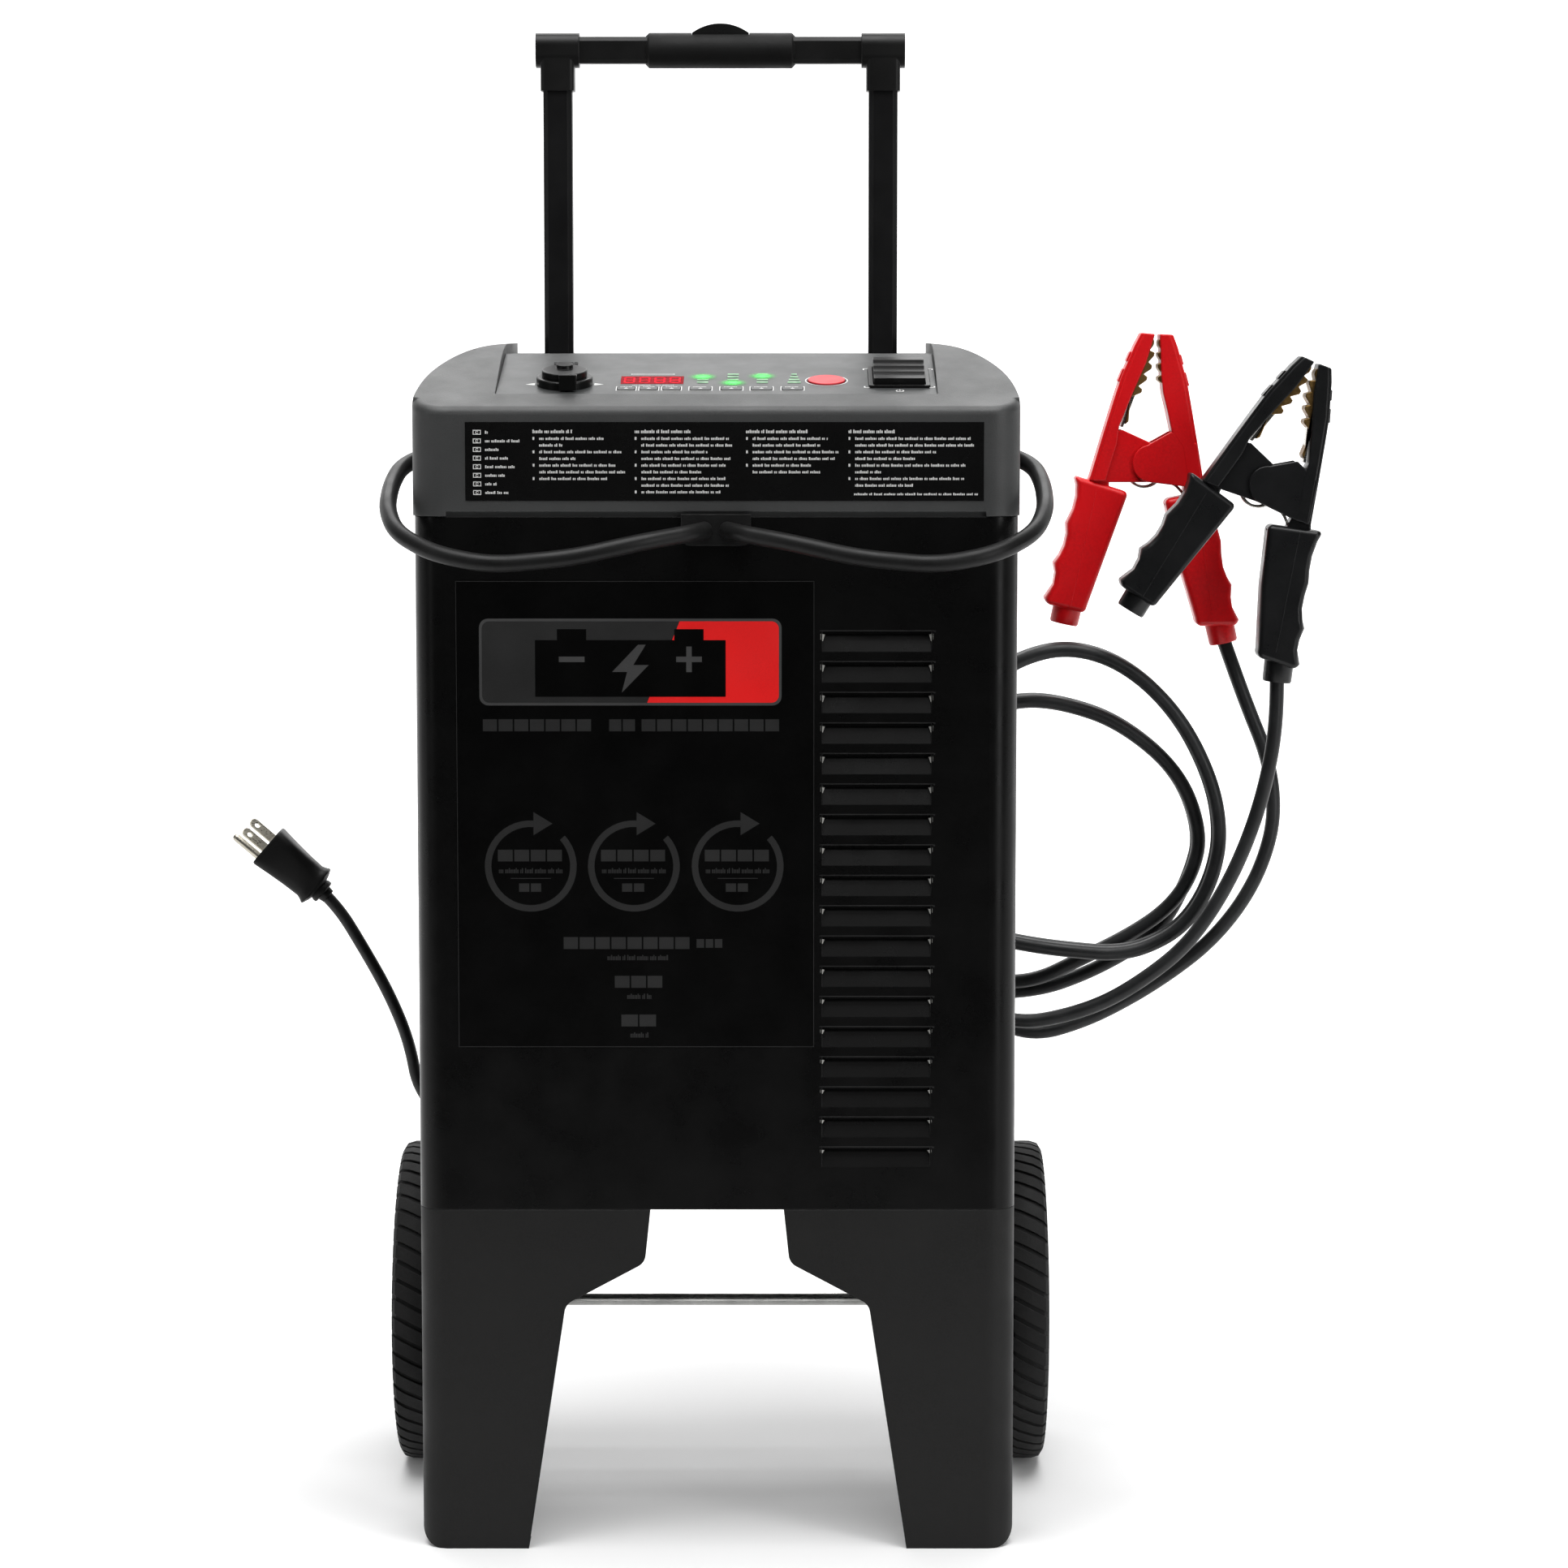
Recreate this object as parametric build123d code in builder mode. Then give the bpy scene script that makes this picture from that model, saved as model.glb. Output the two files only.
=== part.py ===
from build123d import *
import os
from math import atan2, cos, radians, sin, tan

# Wheeled car battery charger: a sheet-steel case on two sheet legs and two wheels, a moulded top
# housing with a sloping control panel, a telescoping handle, two cord rails, a mains cord with a
# plug, and two output leads with battery clamps. Millimetres. X is right as seen from the front,
# Y runs to the back, Z is up. The origin is on the floor under the middle of the box of the
# charger without its cords.

os.makedirs("parts", exist_ok=True)

# ---------------------------------------------------------------- driving dimensions
CASE_W = 330.0
CASE_D = 225.0
CASE_BOTTOM = 192.0
CASE_TOP = 574.6
CORNER_R = 16.0
SHEET = 1.2
LEG_SHEET = 1.5
TOUCH = 0.2               # gap between pieces of one body that only meet
GAP = 0.35                # gap between pieces that move past each other

WHEEL_R = 95.0
WHEEL_IN = 168.0          # inner face of a wheel, from the middle plane
WHEEL_OUT = 192.0
AXLE_R = 4.0
AXLE_BACK = 207.0         # axle behind the front face
RAIL_REACH = 45.0         # cord rails in front of the front face
FRONT = RAIL_REACH - (RAIL_REACH + AXLE_BACK + WHEEL_R) / 2
REAR = FRONT + CASE_D

HOUSING_W = 332.0
HOUSING_LIP = 1.0         # housing in front of the case
HOUSING_BOTTOM = 577.6
HOUSING_TOP = 668.0
HOUSING_WALL = 3.4
DECK_Z = 662.0
PANEL_START = 20.0        # foot of the sloping panel, behind the front face
PANEL_LOW_Z = 640.5
PANEL_END = 110.0
PANEL_T = 2.0
WING_IN = 121.0           # inner face of a wing
BOARD_TOP = 616.0

HANDLE_X = 94.75
HANDLE_BACK = 197.0
TUBE = 16.7
TUBE_CHAMFER = 2.6
TUBE_WALL = 1.5
BAR_Z = 837.5
BAR = 15.4
HANDLE_TRAVEL = 150.0

CORD_D = 7.4              # mains cord
LEAD_D = 8.7              # output leads
CLAMP_HALF = 10.9         # half width of a clamp


def back(distance):
    """The Y of a point that is this far behind the front face."""
    return FRONT + distance


def at(x, distance, z):
    """A point given by its distance behind the front face."""
    return (x, FRONT + distance, z)


def bend_radii(points):
    """The largest arc that each corner of a route has room for."""
    radii = []
    for before, corner, after in zip(points, points[1:], points[2:]):
        way_in = Vector(*corner) - Vector(*before)
        way_out = Vector(*after) - Vector(*corner)
        half_turn = radians(way_in.get_angle(way_out)) / 2
        radii.append(0.45 * min(way_in.length, way_out.length) / tan(half_turn))
    return radii


def tube_along(points, diameter):
    """A round bar along straight runs joined by tangent arcs."""
    with BuildPart() as bar:
        with BuildLine() as route:
            FilletPolyline(*points, radius=bend_radii(points))
        with BuildSketch(Plane(origin=route.line @ 0, z_dir=route.line % 0)):
            Circle(diameter / 2)
        sweep()
    return bar


# ---------------------------------------------------------------- layout of the back
FAN_Z = 440.0
FAN_SIZE = 80.0
MAINS_GLAND = (-26.0, 235.0)
LEAD_GLANDS = ((95.0, 210.0), (70.0, 210.0))
GLAND_HOLE_R = 6.5
SCREW_HOLE_R = 2.0
SCREW_R = 1.95
SCREW_HEAD_R = 3.6
VENT_R = 2.6              # holes of the fan's vent
VENT_RINGS = 5
VENT_STEP = 6.8
rear_screws = [(x, z) for x in (-156.0, 156.0) for z in (215.0, 385.0, 560.0)]

# ---------------------------------------------------------------- case wrap with louvers
LOUVER_COUNT = 18
LOUVER_TOP_Z = 512.2
LOUVER_PITCH = 16.79
LOUVER_X = 87.7
LOUVER_W = 62.0
LOUVER_H = 11.2
LOUVER_DEPTH = 4.0
louver_tops = [LOUVER_TOP_Z - i * LOUVER_PITCH for i in range(LOUVER_COUNT)]

with BuildPart() as scoop:
    with BuildSketch(Plane.YZ):
        with BuildLine():
            Polyline((0, -LOUVER_H), (SHEET, -LOUVER_H - 0.4), (LOUVER_DEPTH + SHEET, -2.0),
                     (LOUVER_DEPTH + SHEET, 0), (LOUVER_DEPTH, 0), (LOUVER_DEPTH, -1.6), close=True)
        make_face()
    extrude(amount=LOUVER_W / 2, both=True)
    with BuildSketch(Plane.YZ.offset(LOUVER_W / 2 - SHEET)):
        with BuildLine():
            Polyline((0, -LOUVER_H), (SHEET, -LOUVER_H - 0.4), (LOUVER_DEPTH + SHEET, -2.0),
                     (LOUVER_DEPTH + SHEET, 0), (0, 0), close=True)
        make_face()
    extrude(amount=SHEET)
    mirror(about=Plane.YZ)

with BuildPart() as case_wrap:
    with BuildSketch(Plane.XY.offset(CASE_BOTTOM)) as wrap_plan:
        with Locations((0, FRONT + CASE_D / 2)):
            Rectangle(CASE_W, CASE_D)
        fillet(wrap_plan.vertices().group_by(Axis.Y)[0], CORNER_R)
    extrude(amount=CASE_TOP - CASE_BOTTOM)
    with BuildSketch(Plane.XY.offset(CASE_BOTTOM)) as wrap_room:
        with Locations((0, FRONT + SHEET + CASE_D / 2)):
            Rectangle(CASE_W - 2 * SHEET, CASE_D)
        fillet(wrap_room.vertices().group_by(Axis.Y)[0], CORNER_R - SHEET)
    extrude(amount=CASE_TOP - CASE_BOTTOM, mode=Mode.SUBTRACT)
    with Locations(*[(LOUVER_X, FRONT + SHEET / 2, top - LOUVER_H / 2) for top in louver_tops]):
        Box(LOUVER_W, 2 * SHEET, LOUVER_H, mode=Mode.SUBTRACT)
    with Locations(*[(LOUVER_X, FRONT, top) for top in louver_tops]):
        add(scoop.part)
    # inward flanges that the rear panel is screwed to
    with Locations(*[at(side * 155, CASE_D - 1.5 * SHEET - TOUCH, (CASE_BOTTOM + CASE_TOP) / 2)
                     for side in (-1, 1)]):
        Box(18, SHEET, CASE_TOP - CASE_BOTTOM - 20)
    with BuildSketch(Plane.XZ.offset(-REAR)):
        with Locations(*rear_screws):
            Circle(SCREW_HOLE_R)
    extrude(amount=6, both=True, mode=Mode.SUBTRACT)
case_wrap.part.label = "case_wrap"
export_step(case_wrap.part, "parts/case_wrap.step")

# ---------------------------------------------------------------- rear panel, base tray
with BuildPart() as rear_panel:
    with BuildSketch(Plane.XZ.offset(-REAR)) as rear_outline:
        with Locations((0, (CASE_BOTTOM + CASE_TOP) / 2 + 1)):
            Rectangle(CASE_W - 2 * SHEET - 2 * TOUCH, CASE_TOP - CASE_BOTTOM - 4)
        with Locations((0, FAN_Z)):
            Circle(VENT_R, mode=Mode.SUBTRACT)
            for ring in range(1, VENT_RINGS + 1):
                with PolarLocations(VENT_STEP * ring, 6 * ring):
                    Circle(VENT_R, mode=Mode.SUBTRACT)
        with Locations((-95, 505), (95, 505)):
            with GridLocations(1, 11, 1, 6):
                SlotOverall(60, 4.2, mode=Mode.SUBTRACT)
        with Locations(*rear_screws):
            Circle(SCREW_HOLE_R, mode=Mode.SUBTRACT)
        with Locations(MAINS_GLAND, *LEAD_GLANDS):
            Circle(GLAND_HOLE_R, mode=Mode.SUBTRACT)
    extrude(amount=SHEET)
rear_panel.part.label = "rear_panel"
export_step(rear_panel.part, "parts/rear_panel.step")

TRAY_TOP = CASE_BOTTOM + TOUCH + SHEET
tray_screws = [(x, y) for x in (-156.0, 156.0) for y in (45.0, 180.0)]
with BuildPart() as base_tray:
    with BuildSketch(Plane.XY.offset(TRAY_TOP - SHEET)) as tray_plan:
        with Locations((0, FRONT + CASE_D / 2)):
            Rectangle(CASE_W - 2 * SHEET - 2 * TOUCH, CASE_D - 2 * SHEET - 2 * TOUCH)
        fillet(tray_plan.vertices().group_by(Axis.Y)[0], CORNER_R)
        with Locations((90, FRONT + 150)):
            with GridLocations(12, 1, 7, 1):
                SlotOverall(40, 4.5, rotation=90, mode=Mode.SUBTRACT)
        with Locations(*[at(x, y, 0) for x, y in tray_screws]):
            Circle(SCREW_HOLE_R, mode=Mode.SUBTRACT)
    extrude(amount=SHEET)
base_tray.part.label = "base_tray"
export_step(base_tray.part, "parts/base_tray.step")

# ---------------------------------------------------------------- legs
FOOT_FLANGE = 18.0
LEG_TOP = CASE_BOTTOM - TOUCH

with BuildPart() as legs:
    with BuildSketch(Plane.XY) as leg_plan:
        with Locations((0, FRONT + CASE_D / 2)):
            Rectangle(CASE_W, CASE_D)
        fillet(leg_plan.vertices().group_by(Axis.Y)[0], CORNER_R)
    extrude(amount=LEG_TOP)
    with BuildSketch(Plane.XY) as leg_room:
        with Locations((0, FRONT + LEG_SHEET + CASE_D / 2)):
            Rectangle(CASE_W - 2 * LEG_SHEET, CASE_D)
        fillet(leg_room.vertices().group_by(Axis.Y)[0], CORNER_R - LEG_SHEET)
    extrude(amount=LEG_TOP, mode=Mode.SUBTRACT)
    with Locations((0, FRONT + LEG_SHEET + FOOT_FLANGE / 2, LEG_SHEET / 2)):
        Box(CASE_W - 2 * CORNER_R, FOOT_FLANGE, LEG_SHEET)
    # outer bottom corners rounded as seen from the front
    with BuildSketch(Plane.XZ) as leg_silhouette:
        with Locations((0, LEG_TOP / 2)):
            Rectangle(CASE_W, LEG_TOP)
        fillet(leg_silhouette.vertices().group_by(Axis.Y)[0], 11)
    extrude(amount=300, both=True, mode=Mode.INTERSECT)
    # front opening between the two legs
    with BuildSketch(Plane.XZ.offset(-FRONT)) as leg_opening:
        with BuildLine() as opening_line:
            FilletPolyline((-36, 200), (-40, 162), (-84, 138.5), (-106, -5), (106, -5), (84, 138.5),
                           (40, 162), (36, 200), close=True, radius=[3, 8, 8, 3, 3, 8, 8, 3])
        make_face()
    extrude(amount=60, both=True, mode=Mode.SUBTRACT)
    # side opening behind each foot
    with BuildSketch(Plane.YZ) as side_opening:
        with BuildLine():
            FilletPolyline((back(46), -20), (back(92), 58), (back(300), 58), (back(300), -20), close=True,
                           radius=[2, 14, 2, 2])
        make_face()
    extrude(amount=300, both=True, mode=Mode.SUBTRACT)
    with BuildSketch(Plane.YZ):
        with Locations((back(AXLE_BACK), WHEEL_R)):
            Circle(AXLE_R + 0.1)
    extrude(amount=300, both=True, mode=Mode.SUBTRACT)
    # top flanges that are screwed to the tray
    with Locations(*[at(side * 155, CASE_D / 2, LEG_TOP - LEG_SHEET / 2) for side in (-1, 1)]):
        Box(18, CASE_D - 40, LEG_SHEET)
    with BuildSketch(Plane.XY):
        with Locations(*[at(x, y, 0) for x, y in tray_screws]):
            Circle(SCREW_HOLE_R)
    extrude(amount=300, mode=Mode.SUBTRACT)
legs.part.label = "legs"
export_step(legs.part, "parts/legs.step")

# ---------------------------------------------------------------- axle, caps, wheels
AXLE_END = 189.0
AXLE_CAP_R = 8.0
HUB_OUT = 186.0
HUB_R = 14.0
RIM_R = 68.0
SHOULDER_R = 6.0
SPOKE_HOLE_R = 9.0
SPOKE_HOLE_SPAN = 38.0    # hole centres from the axle
with BuildPart() as axle:
    with BuildSketch(Plane.YZ):
        with Locations((back(AXLE_BACK), WHEEL_R)):
            Circle(AXLE_R)
    extrude(amount=AXLE_END, both=True)
axle.part.label = "axle"
export_step(axle.part, "parts/axle.step")

with BuildPart() as axle_caps:
    with BuildSketch(Plane.YZ.offset(HUB_OUT + GAP)):
        with Locations((back(AXLE_BACK), WHEEL_R)):
            Circle(AXLE_CAP_R)
            Circle(AXLE_R, mode=Mode.SUBTRACT)
    extrude(amount=AXLE_END - HUB_OUT - GAP)
    with BuildSketch(Plane.YZ.offset(AXLE_END)):
        with Locations((back(AXLE_BACK), WHEEL_R)):
            Circle(AXLE_CAP_R)
    extrude(amount=1.2, taper=30)
    mirror(about=Plane.YZ)
axle_caps.part.label = "axle_caps"
export_step(axle_caps.part, "parts/axle_caps.step")


def wheel_tyre(side):
    """A rubber tyre; side is 1 for the right wheel and -1 for the left."""
    with BuildPart() as tyre:
        with BuildSketch(Plane.XZ.offset(-back(AXLE_BACK))) as section:
            with Locations((side * (WHEEL_IN + WHEEL_OUT) / 2, WHEEL_R + (WHEEL_R + RIM_R) / 2)):
                Rectangle(WHEEL_OUT - WHEEL_IN, WHEEL_R - RIM_R)
            fillet(section.vertices().group_by(Axis.Y)[-1], SHOULDER_R)
        revolve(axis=Axis((0, back(AXLE_BACK), WHEEL_R), (1, 0, 0)))
    return tyre


def wheel_rim(side):
    """A moulded rim: hub, web with six holes, and the ring that carries the tyre."""
    axis_z = WHEEL_R
    with BuildPart() as rim:
        with BuildSketch(Plane.XZ.offset(-back(AXLE_BACK))):
            with BuildLine():
                Polyline((side * (WHEEL_IN + 0.4), axis_z + AXLE_R + 0.06),
                         (side * (WHEEL_IN + 0.4), axis_z + HUB_R),
                         (side * 176, axis_z + HUB_R), (side * 176, axis_z + 60),
                         (side * (WHEEL_IN + 1), axis_z + 61), (side * (WHEEL_IN + 1), axis_z + RIM_R),
                         (side * (WHEEL_OUT - 1), axis_z + RIM_R), (side * (WHEEL_OUT - 1), axis_z + 62),
                         (side * 181, axis_z + 60), (side * 181, axis_z + HUB_R),
                         (side * HUB_OUT, axis_z + HUB_R - 2), (side * HUB_OUT, axis_z + AXLE_R + 0.06),
                         close=True)
            make_face()
        revolve(axis=Axis((0, back(AXLE_BACK), WHEEL_R), (1, 0, 0)))
        with BuildSketch(Plane.YZ.offset(side * 178)):
            with Locations((back(AXLE_BACK), WHEEL_R)):
                with PolarLocations(SPOKE_HOLE_SPAN, 6):
                    Circle(SPOKE_HOLE_R)
        extrude(amount=8, both=True, mode=Mode.SUBTRACT)
    return rim


for side, name in ((-1, "left"), (1, "right")):
    tyre = wheel_tyre(side)
    tyre.part.label = f"{name}_tyre"
    export_step(tyre.part, f"parts/{name}_tyre.step")
    rim = wheel_rim(side)
    rim.part.label = f"{name}_rim"
    export_step(rim.part, f"parts/{name}_rim.step")

# ---------------------------------------------------------------- control panel layout
SLOPE = atan2(DECK_Z - PANEL_LOW_Z, PANEL_END - PANEL_START)
PANEL = Plane(origin=at(0, PANEL_START, PANEL_LOW_Z), x_dir=(1, 0, 0), z_dir=(0, -sin(SLOPE), cos(SLOPE)))
PANEL_LEN = (PANEL_END - PANEL_START) / cos(SLOPE)
PORT = (-84.0, 23.6)
PORT_HOLE_R = 11.8
DISPLAY = (-35.9, 32.3)
DISPLAY_SIZE = (34.7, 17.5)
START = (60.5, 31.2)
START_R = 10.3
ROCKER = (100.6, 37.0)
ROCKER_SIZE = (28.0, 38.0)
BEZEL_SIZE = (34.0, 45.0)
BEZEL_HOLE = (29.0, 41.0)
KEY_V = 13.4
KEY_H = 7.5
keys = [(-49.7, 9.6), (-37.3, 9.6), (-24.8, 9.6), (-8.9, 11.4), (8.1, 11.4), (24.7, 11.4), (41.7, 11.4)]
led_groups = [(-8.0, 6.2, 3), (8.75, 6.2, 4), (25.0, 6.2, 4), (42.6, 4.0, 4)]

# ---------------------------------------------------------------- cord rails and their bracket
RAIL_D = 9.5
RAIL_FRONT = RAIL_D / 2 - RAIL_REACH
RAIL_ROUTE = [(6, -2.4, 567.5), (13, -17, 566.5), (42, -33, 562), (76, RAIL_FRONT, 554.5),
              (120, RAIL_FRONT, 550.5), (152, -33, 556.5), (173, -11, 566.5), (180.2, 14, 578),
              (180.6, 44, 590), (177, 72, 600), (163, 96, 606)]
rails = {}
for side, name in ((-1, "left"), (1, "right")):
    rail = tube_along([at(side * x, y, z) for x, y, z in RAIL_ROUTE], RAIL_D)
    rail.part.label = f"{name}_rail"
    export_step(rail.part, f"parts/{name}_rail.step")
    rails[name] = rail

with BuildPart() as rail_bracket:
    with BuildSketch(Plane.XZ.offset(-FRONT)) as bracket_outline:
        with Locations((0, 567.6)):
            Rectangle(38, 17)
        fillet(bracket_outline.vertices().group_by(Axis.Y)[0], 5)
    extrude(amount=2.4)
    add(rails["left"].part, mode=Mode.SUBTRACT)
    add(rails["right"].part, mode=Mode.SUBTRACT)
rail_bracket.part.label = "rail_bracket"
export_step(rail_bracket.part, "parts/rail_bracket.step")

# ---------------------------------------------------------------- top housing
with BuildPart() as hollow:
    with BuildSketch(Plane.YZ):
        with BuildLine():
            Polyline((back(HOUSING_WALL - HOUSING_LIP), 560), (back(HOUSING_WALL - HOUSING_LIP), 628),
                     (back(19), 634.5), (back(PANEL_END), 655.5), (REAR - HOUSING_WALL, 656),
                     (REAR - HOUSING_WALL, 560), close=True)
        make_face()
    extrude(amount=200, both=True)
    with BuildSketch(Plane.XZ):
        with BuildLine():
            Polyline((-162.4, 550), (-162.4, 600), (-160, 634), (-152, 650), (-138, 657), (138, 657),
                     (152, 650), (160, 634), (162.4, 600), (162.4, 550), close=True)
        make_face()
    extrude(amount=300, both=True, mode=Mode.INTERSECT)
    # rounded corners, so that the wall keeps its thickness round them
    with BuildSketch(Plane.XY.offset(550)):
        with Locations((0, FRONT + CASE_D / 2)):
            RectangleRounded(HOUSING_W - 2 * HOUSING_WALL, CASE_D + 2 * HOUSING_LIP - 2 * HOUSING_WALL, 13.6)
    extrude(amount=120, mode=Mode.INTERSECT)

with BuildPart() as corner_lips:
    with BuildSketch(Plane.XY.offset(CASE_TOP + 0.4)) as lip_plan:
        with Locations((0, FRONT - HOUSING_LIP + (CASE_D + 2 * HOUSING_LIP) / 2)):
            RectangleRounded(HOUSING_W, CASE_D + 2 * HOUSING_LIP, 17)
        with Locations((0, FRONT + CASE_D / 2 + HOUSING_WALL)):
            RectangleRounded(HOUSING_W - 2 * HOUSING_WALL, CASE_D, 14, mode=Mode.SUBTRACT)
        with Locations((0, FRONT)):
            Rectangle(294, 900, mode=Mode.SUBTRACT)
        with Locations((0, FRONT + 34 + 200)):
            Rectangle(900, 400, mode=Mode.SUBTRACT)
    extrude(amount=HOUSING_BOTTOM - CASE_TOP)

with BuildPart() as top_housing:
    with BuildSketch(Plane.XY.offset(HOUSING_BOTTOM)):
        with Locations((0, FRONT - HOUSING_LIP + (CASE_D + 2 * HOUSING_LIP) / 2)):
            RectangleRounded(HOUSING_W, CASE_D + 2 * HOUSING_LIP, 17)
    extrude(amount=120)
    # side view: upright front, then a slope that flattens towards the back
    with BuildSketch(Plane.YZ):
        with BuildLine():
            Polyline((back(-1), 633.5), (back(-20), 626), (back(-20), 560), (back(260), 560),
                     (back(260), HOUSING_TOP), (back(140), HOUSING_TOP))
            Spline((back(140), HOUSING_TOP), (back(95), 664.2), (back(55), 653.4), (back(20), 641.0),
                   (back(-1), 633.5), tangents=((-1, 0), (-1, -0.36)))
        make_face()
    extrude(amount=300, both=True, mode=Mode.INTERSECT)
    # front view: upright sides with elliptical shoulders
    with BuildSketch(Plane.XZ):
        with BuildLine():
            Spline((-166, 632), (-152, 658), (-118, HOUSING_TOP), tangents=((0, 1), (1, 0)))
            Line((-118, HOUSING_TOP), (118, HOUSING_TOP))
            Spline((118, HOUSING_TOP), (152, 658), (166, 632), tangents=((1, 0), (0, -1)))
            Polyline((166, 632), (166, 560), (-166, 560), (-166, 632))
        make_face()
    extrude(amount=300, both=True, mode=Mode.INTERSECT)
    front_crease = top_housing.edges().filter_by(Axis.X).filter_by_position(Axis.Z, 625, 640)
    fillet(front_crease, 5)
    # skirt that drops inside the case
    with BuildSketch(Plane.XY.offset(CASE_TOP - 8)):
        with Locations((0, FRONT + CASE_D / 2)):
            RectangleRounded(CASE_W - 2 * SHEET - 2 * TOUCH, CASE_D - 2 * SHEET - 2 * TOUCH, 14)
    extrude(amount=HOUSING_BOTTOM - CASE_TOP + 8)
    add(corner_lips.part)
    add(hollow.part, mode=Mode.SUBTRACT)
    # recess for the panel, and the lower deck behind it, between the two wings
    with BuildSketch(Plane.YZ):
        with BuildLine():
            foot = PANEL.offset(-PANEL_T).from_local_coords((0, 0, 0))
            crest = PANEL.offset(-PANEL_T).from_local_coords((0, PANEL_LEN, 0))
            Polyline((foot.Y, foot.Z), (crest.Y, crest.Z), (crest.Y, DECK_Z), (back(300), DECK_Z),
                     (back(300), 700), (back(PANEL_START), 700), (back(PANEL_START), PANEL_LOW_Z),
                     close=True)
        make_face()
    extrude(amount=WING_IN, both=True, mode=Mode.SUBTRACT)
    with BuildSketch(PANEL.offset(2)):
        with Locations(PORT):
            Circle(PORT_HOLE_R + TOUCH)
        with Locations((7, 30)):
            Rectangle(134, 50)
        with Locations(ROCKER):
            Rectangle(BEZEL_SIZE[0] + 2 * TOUCH, BEZEL_SIZE[1] + 2 * TOUCH)
    extrude(amount=-14, mode=Mode.SUBTRACT)
    # board posts
    for y, top in ((26, 637.5), (70, 648.0)):
        with Locations(*[at(x, y, BOARD_TOP + TOUCH) for x in (-104, 78.8)]):
            Cylinder(3, top - BOARD_TOP - TOUCH, align=(Align.CENTER, Align.CENTER, Align.MIN))
    # holes for the handle's tubes
    with BuildSketch(Plane.XY.offset(DECK_Z + 20)):
        with Locations(at(-HANDLE_X, HANDLE_BACK, 0), at(HANDLE_X, HANDLE_BACK, 0)):
            Rectangle(TUBE + 2 * GAP, TUBE + 2 * GAP)
    extrude(amount=-40, mode=Mode.SUBTRACT)
    add(rails["left"].part, mode=Mode.SUBTRACT)
    add(rails["right"].part, mode=Mode.SUBTRACT)
top_housing.part.label = "top_housing"
export_step(top_housing.part, "parts/top_housing.step")

# ---------------------------------------------------------------- control panel and what is on it
with BuildPart() as control_panel:
    with BuildSketch(PANEL.offset(-PANEL_T)):
        with Locations((0, PANEL_LEN / 2)):
            Rectangle(2 * WING_IN - 2 * TOUCH, PANEL_LEN - 2 * TOUCH)
        with Locations(PORT):
            Circle(PORT_HOLE_R + TOUCH, mode=Mode.SUBTRACT)
        with Locations(DISPLAY):
            Rectangle(*DISPLAY_SIZE, mode=Mode.SUBTRACT)
        with Locations(START):
            Circle(START_R + GAP, mode=Mode.SUBTRACT)
        with Locations(ROCKER):
            Rectangle(BEZEL_SIZE[0], BEZEL_SIZE[1], mode=Mode.SUBTRACT)
        for key_x, key_w in keys:
            with Locations((key_x, KEY_V)):
                RectangleRounded(key_w + 2 * GAP, KEY_H + 2 * GAP, 1.3, mode=Mode.SUBTRACT)
    extrude(amount=PANEL_T)
control_panel.part.label = "control_panel"
export_step(control_panel.part, "parts/control_panel.step")

with BuildPart() as display_window:
    with BuildSketch(PANEL.offset(-PANEL_T + 0.3)):
        with Locations(DISPLAY):
            Rectangle(*DISPLAY_SIZE)
    extrude(amount=PANEL_T - 0.2)
display_window.part.label = "display_window"
export_step(display_window.part, "parts/display_window.step")

with BuildPart() as led_bars:
    with BuildSketch(PANEL):
        for group_x, bar_w, bar_count in led_groups:
            for i in range(bar_count):
                width = bar_w if bar_count == 3 or bar_w > 5 else 3.0 + 1.4 * (bar_count - 1 - i)
                with Locations((group_x, 27.0 + 6.0 * i)):
                    Rectangle(width, 2.6)
    extrude(amount=0.3)
led_bars.part.label = "led_bars"
export_step(led_bars.part, "parts/led_bars.step")

for number, (key_x, key_w) in enumerate(keys, 1):
    with BuildPart() as key:
        with BuildSketch(PANEL.offset(-PANEL_T)):
            with Locations((key_x, KEY_V)):
                RectangleRounded(key_w, KEY_H, 1)
        extrude(amount=PANEL_T + 0.5)
    key.part.label = f"key_{number}"
    export_step(key.part, f"parts/key_{number}.step")

with BuildPart() as start_button:
    with BuildSketch(PANEL.offset(-PANEL_T)):
        with Locations(START):
            Circle(START_R)
    extrude(amount=PANEL_T + 0.9)
    fillet(start_button.edges().group_by(Axis.Z)[-1].sort_by(Axis.Z)[-1:], 0.5)
start_button.part.label = "start_button"
export_step(start_button.part, "parts/start_button.step")

# ---------------------------------------------------------------- power switch
BEZEL_UP = 1.5
BEZEL_DOWN = 10.0
PIVOT_DOWN = 5.0
with BuildPart() as switch_bezel:
    with BuildSketch(PANEL.offset(-BEZEL_DOWN)):
        with Locations(ROCKER):
            RectangleRounded(BEZEL_SIZE[0] - 2 * TOUCH, BEZEL_SIZE[1] - 2 * TOUCH, 2)
            Rectangle(*BEZEL_HOLE, mode=Mode.SUBTRACT)
    extrude(amount=BEZEL_DOWN + BEZEL_UP)
    with BuildSketch(Plane(origin=PANEL.from_local_coords((ROCKER[0], ROCKER[1], -PIVOT_DOWN)),
                           x_dir=(0, 1, 0), z_dir=(1, 0, 0))):
        Circle(1.6)
    extrude(amount=30, both=True, mode=Mode.SUBTRACT)
switch_bezel.part.label = "switch_bezel"
export_step(switch_bezel.part, "parts/switch_bezel.step")

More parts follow.
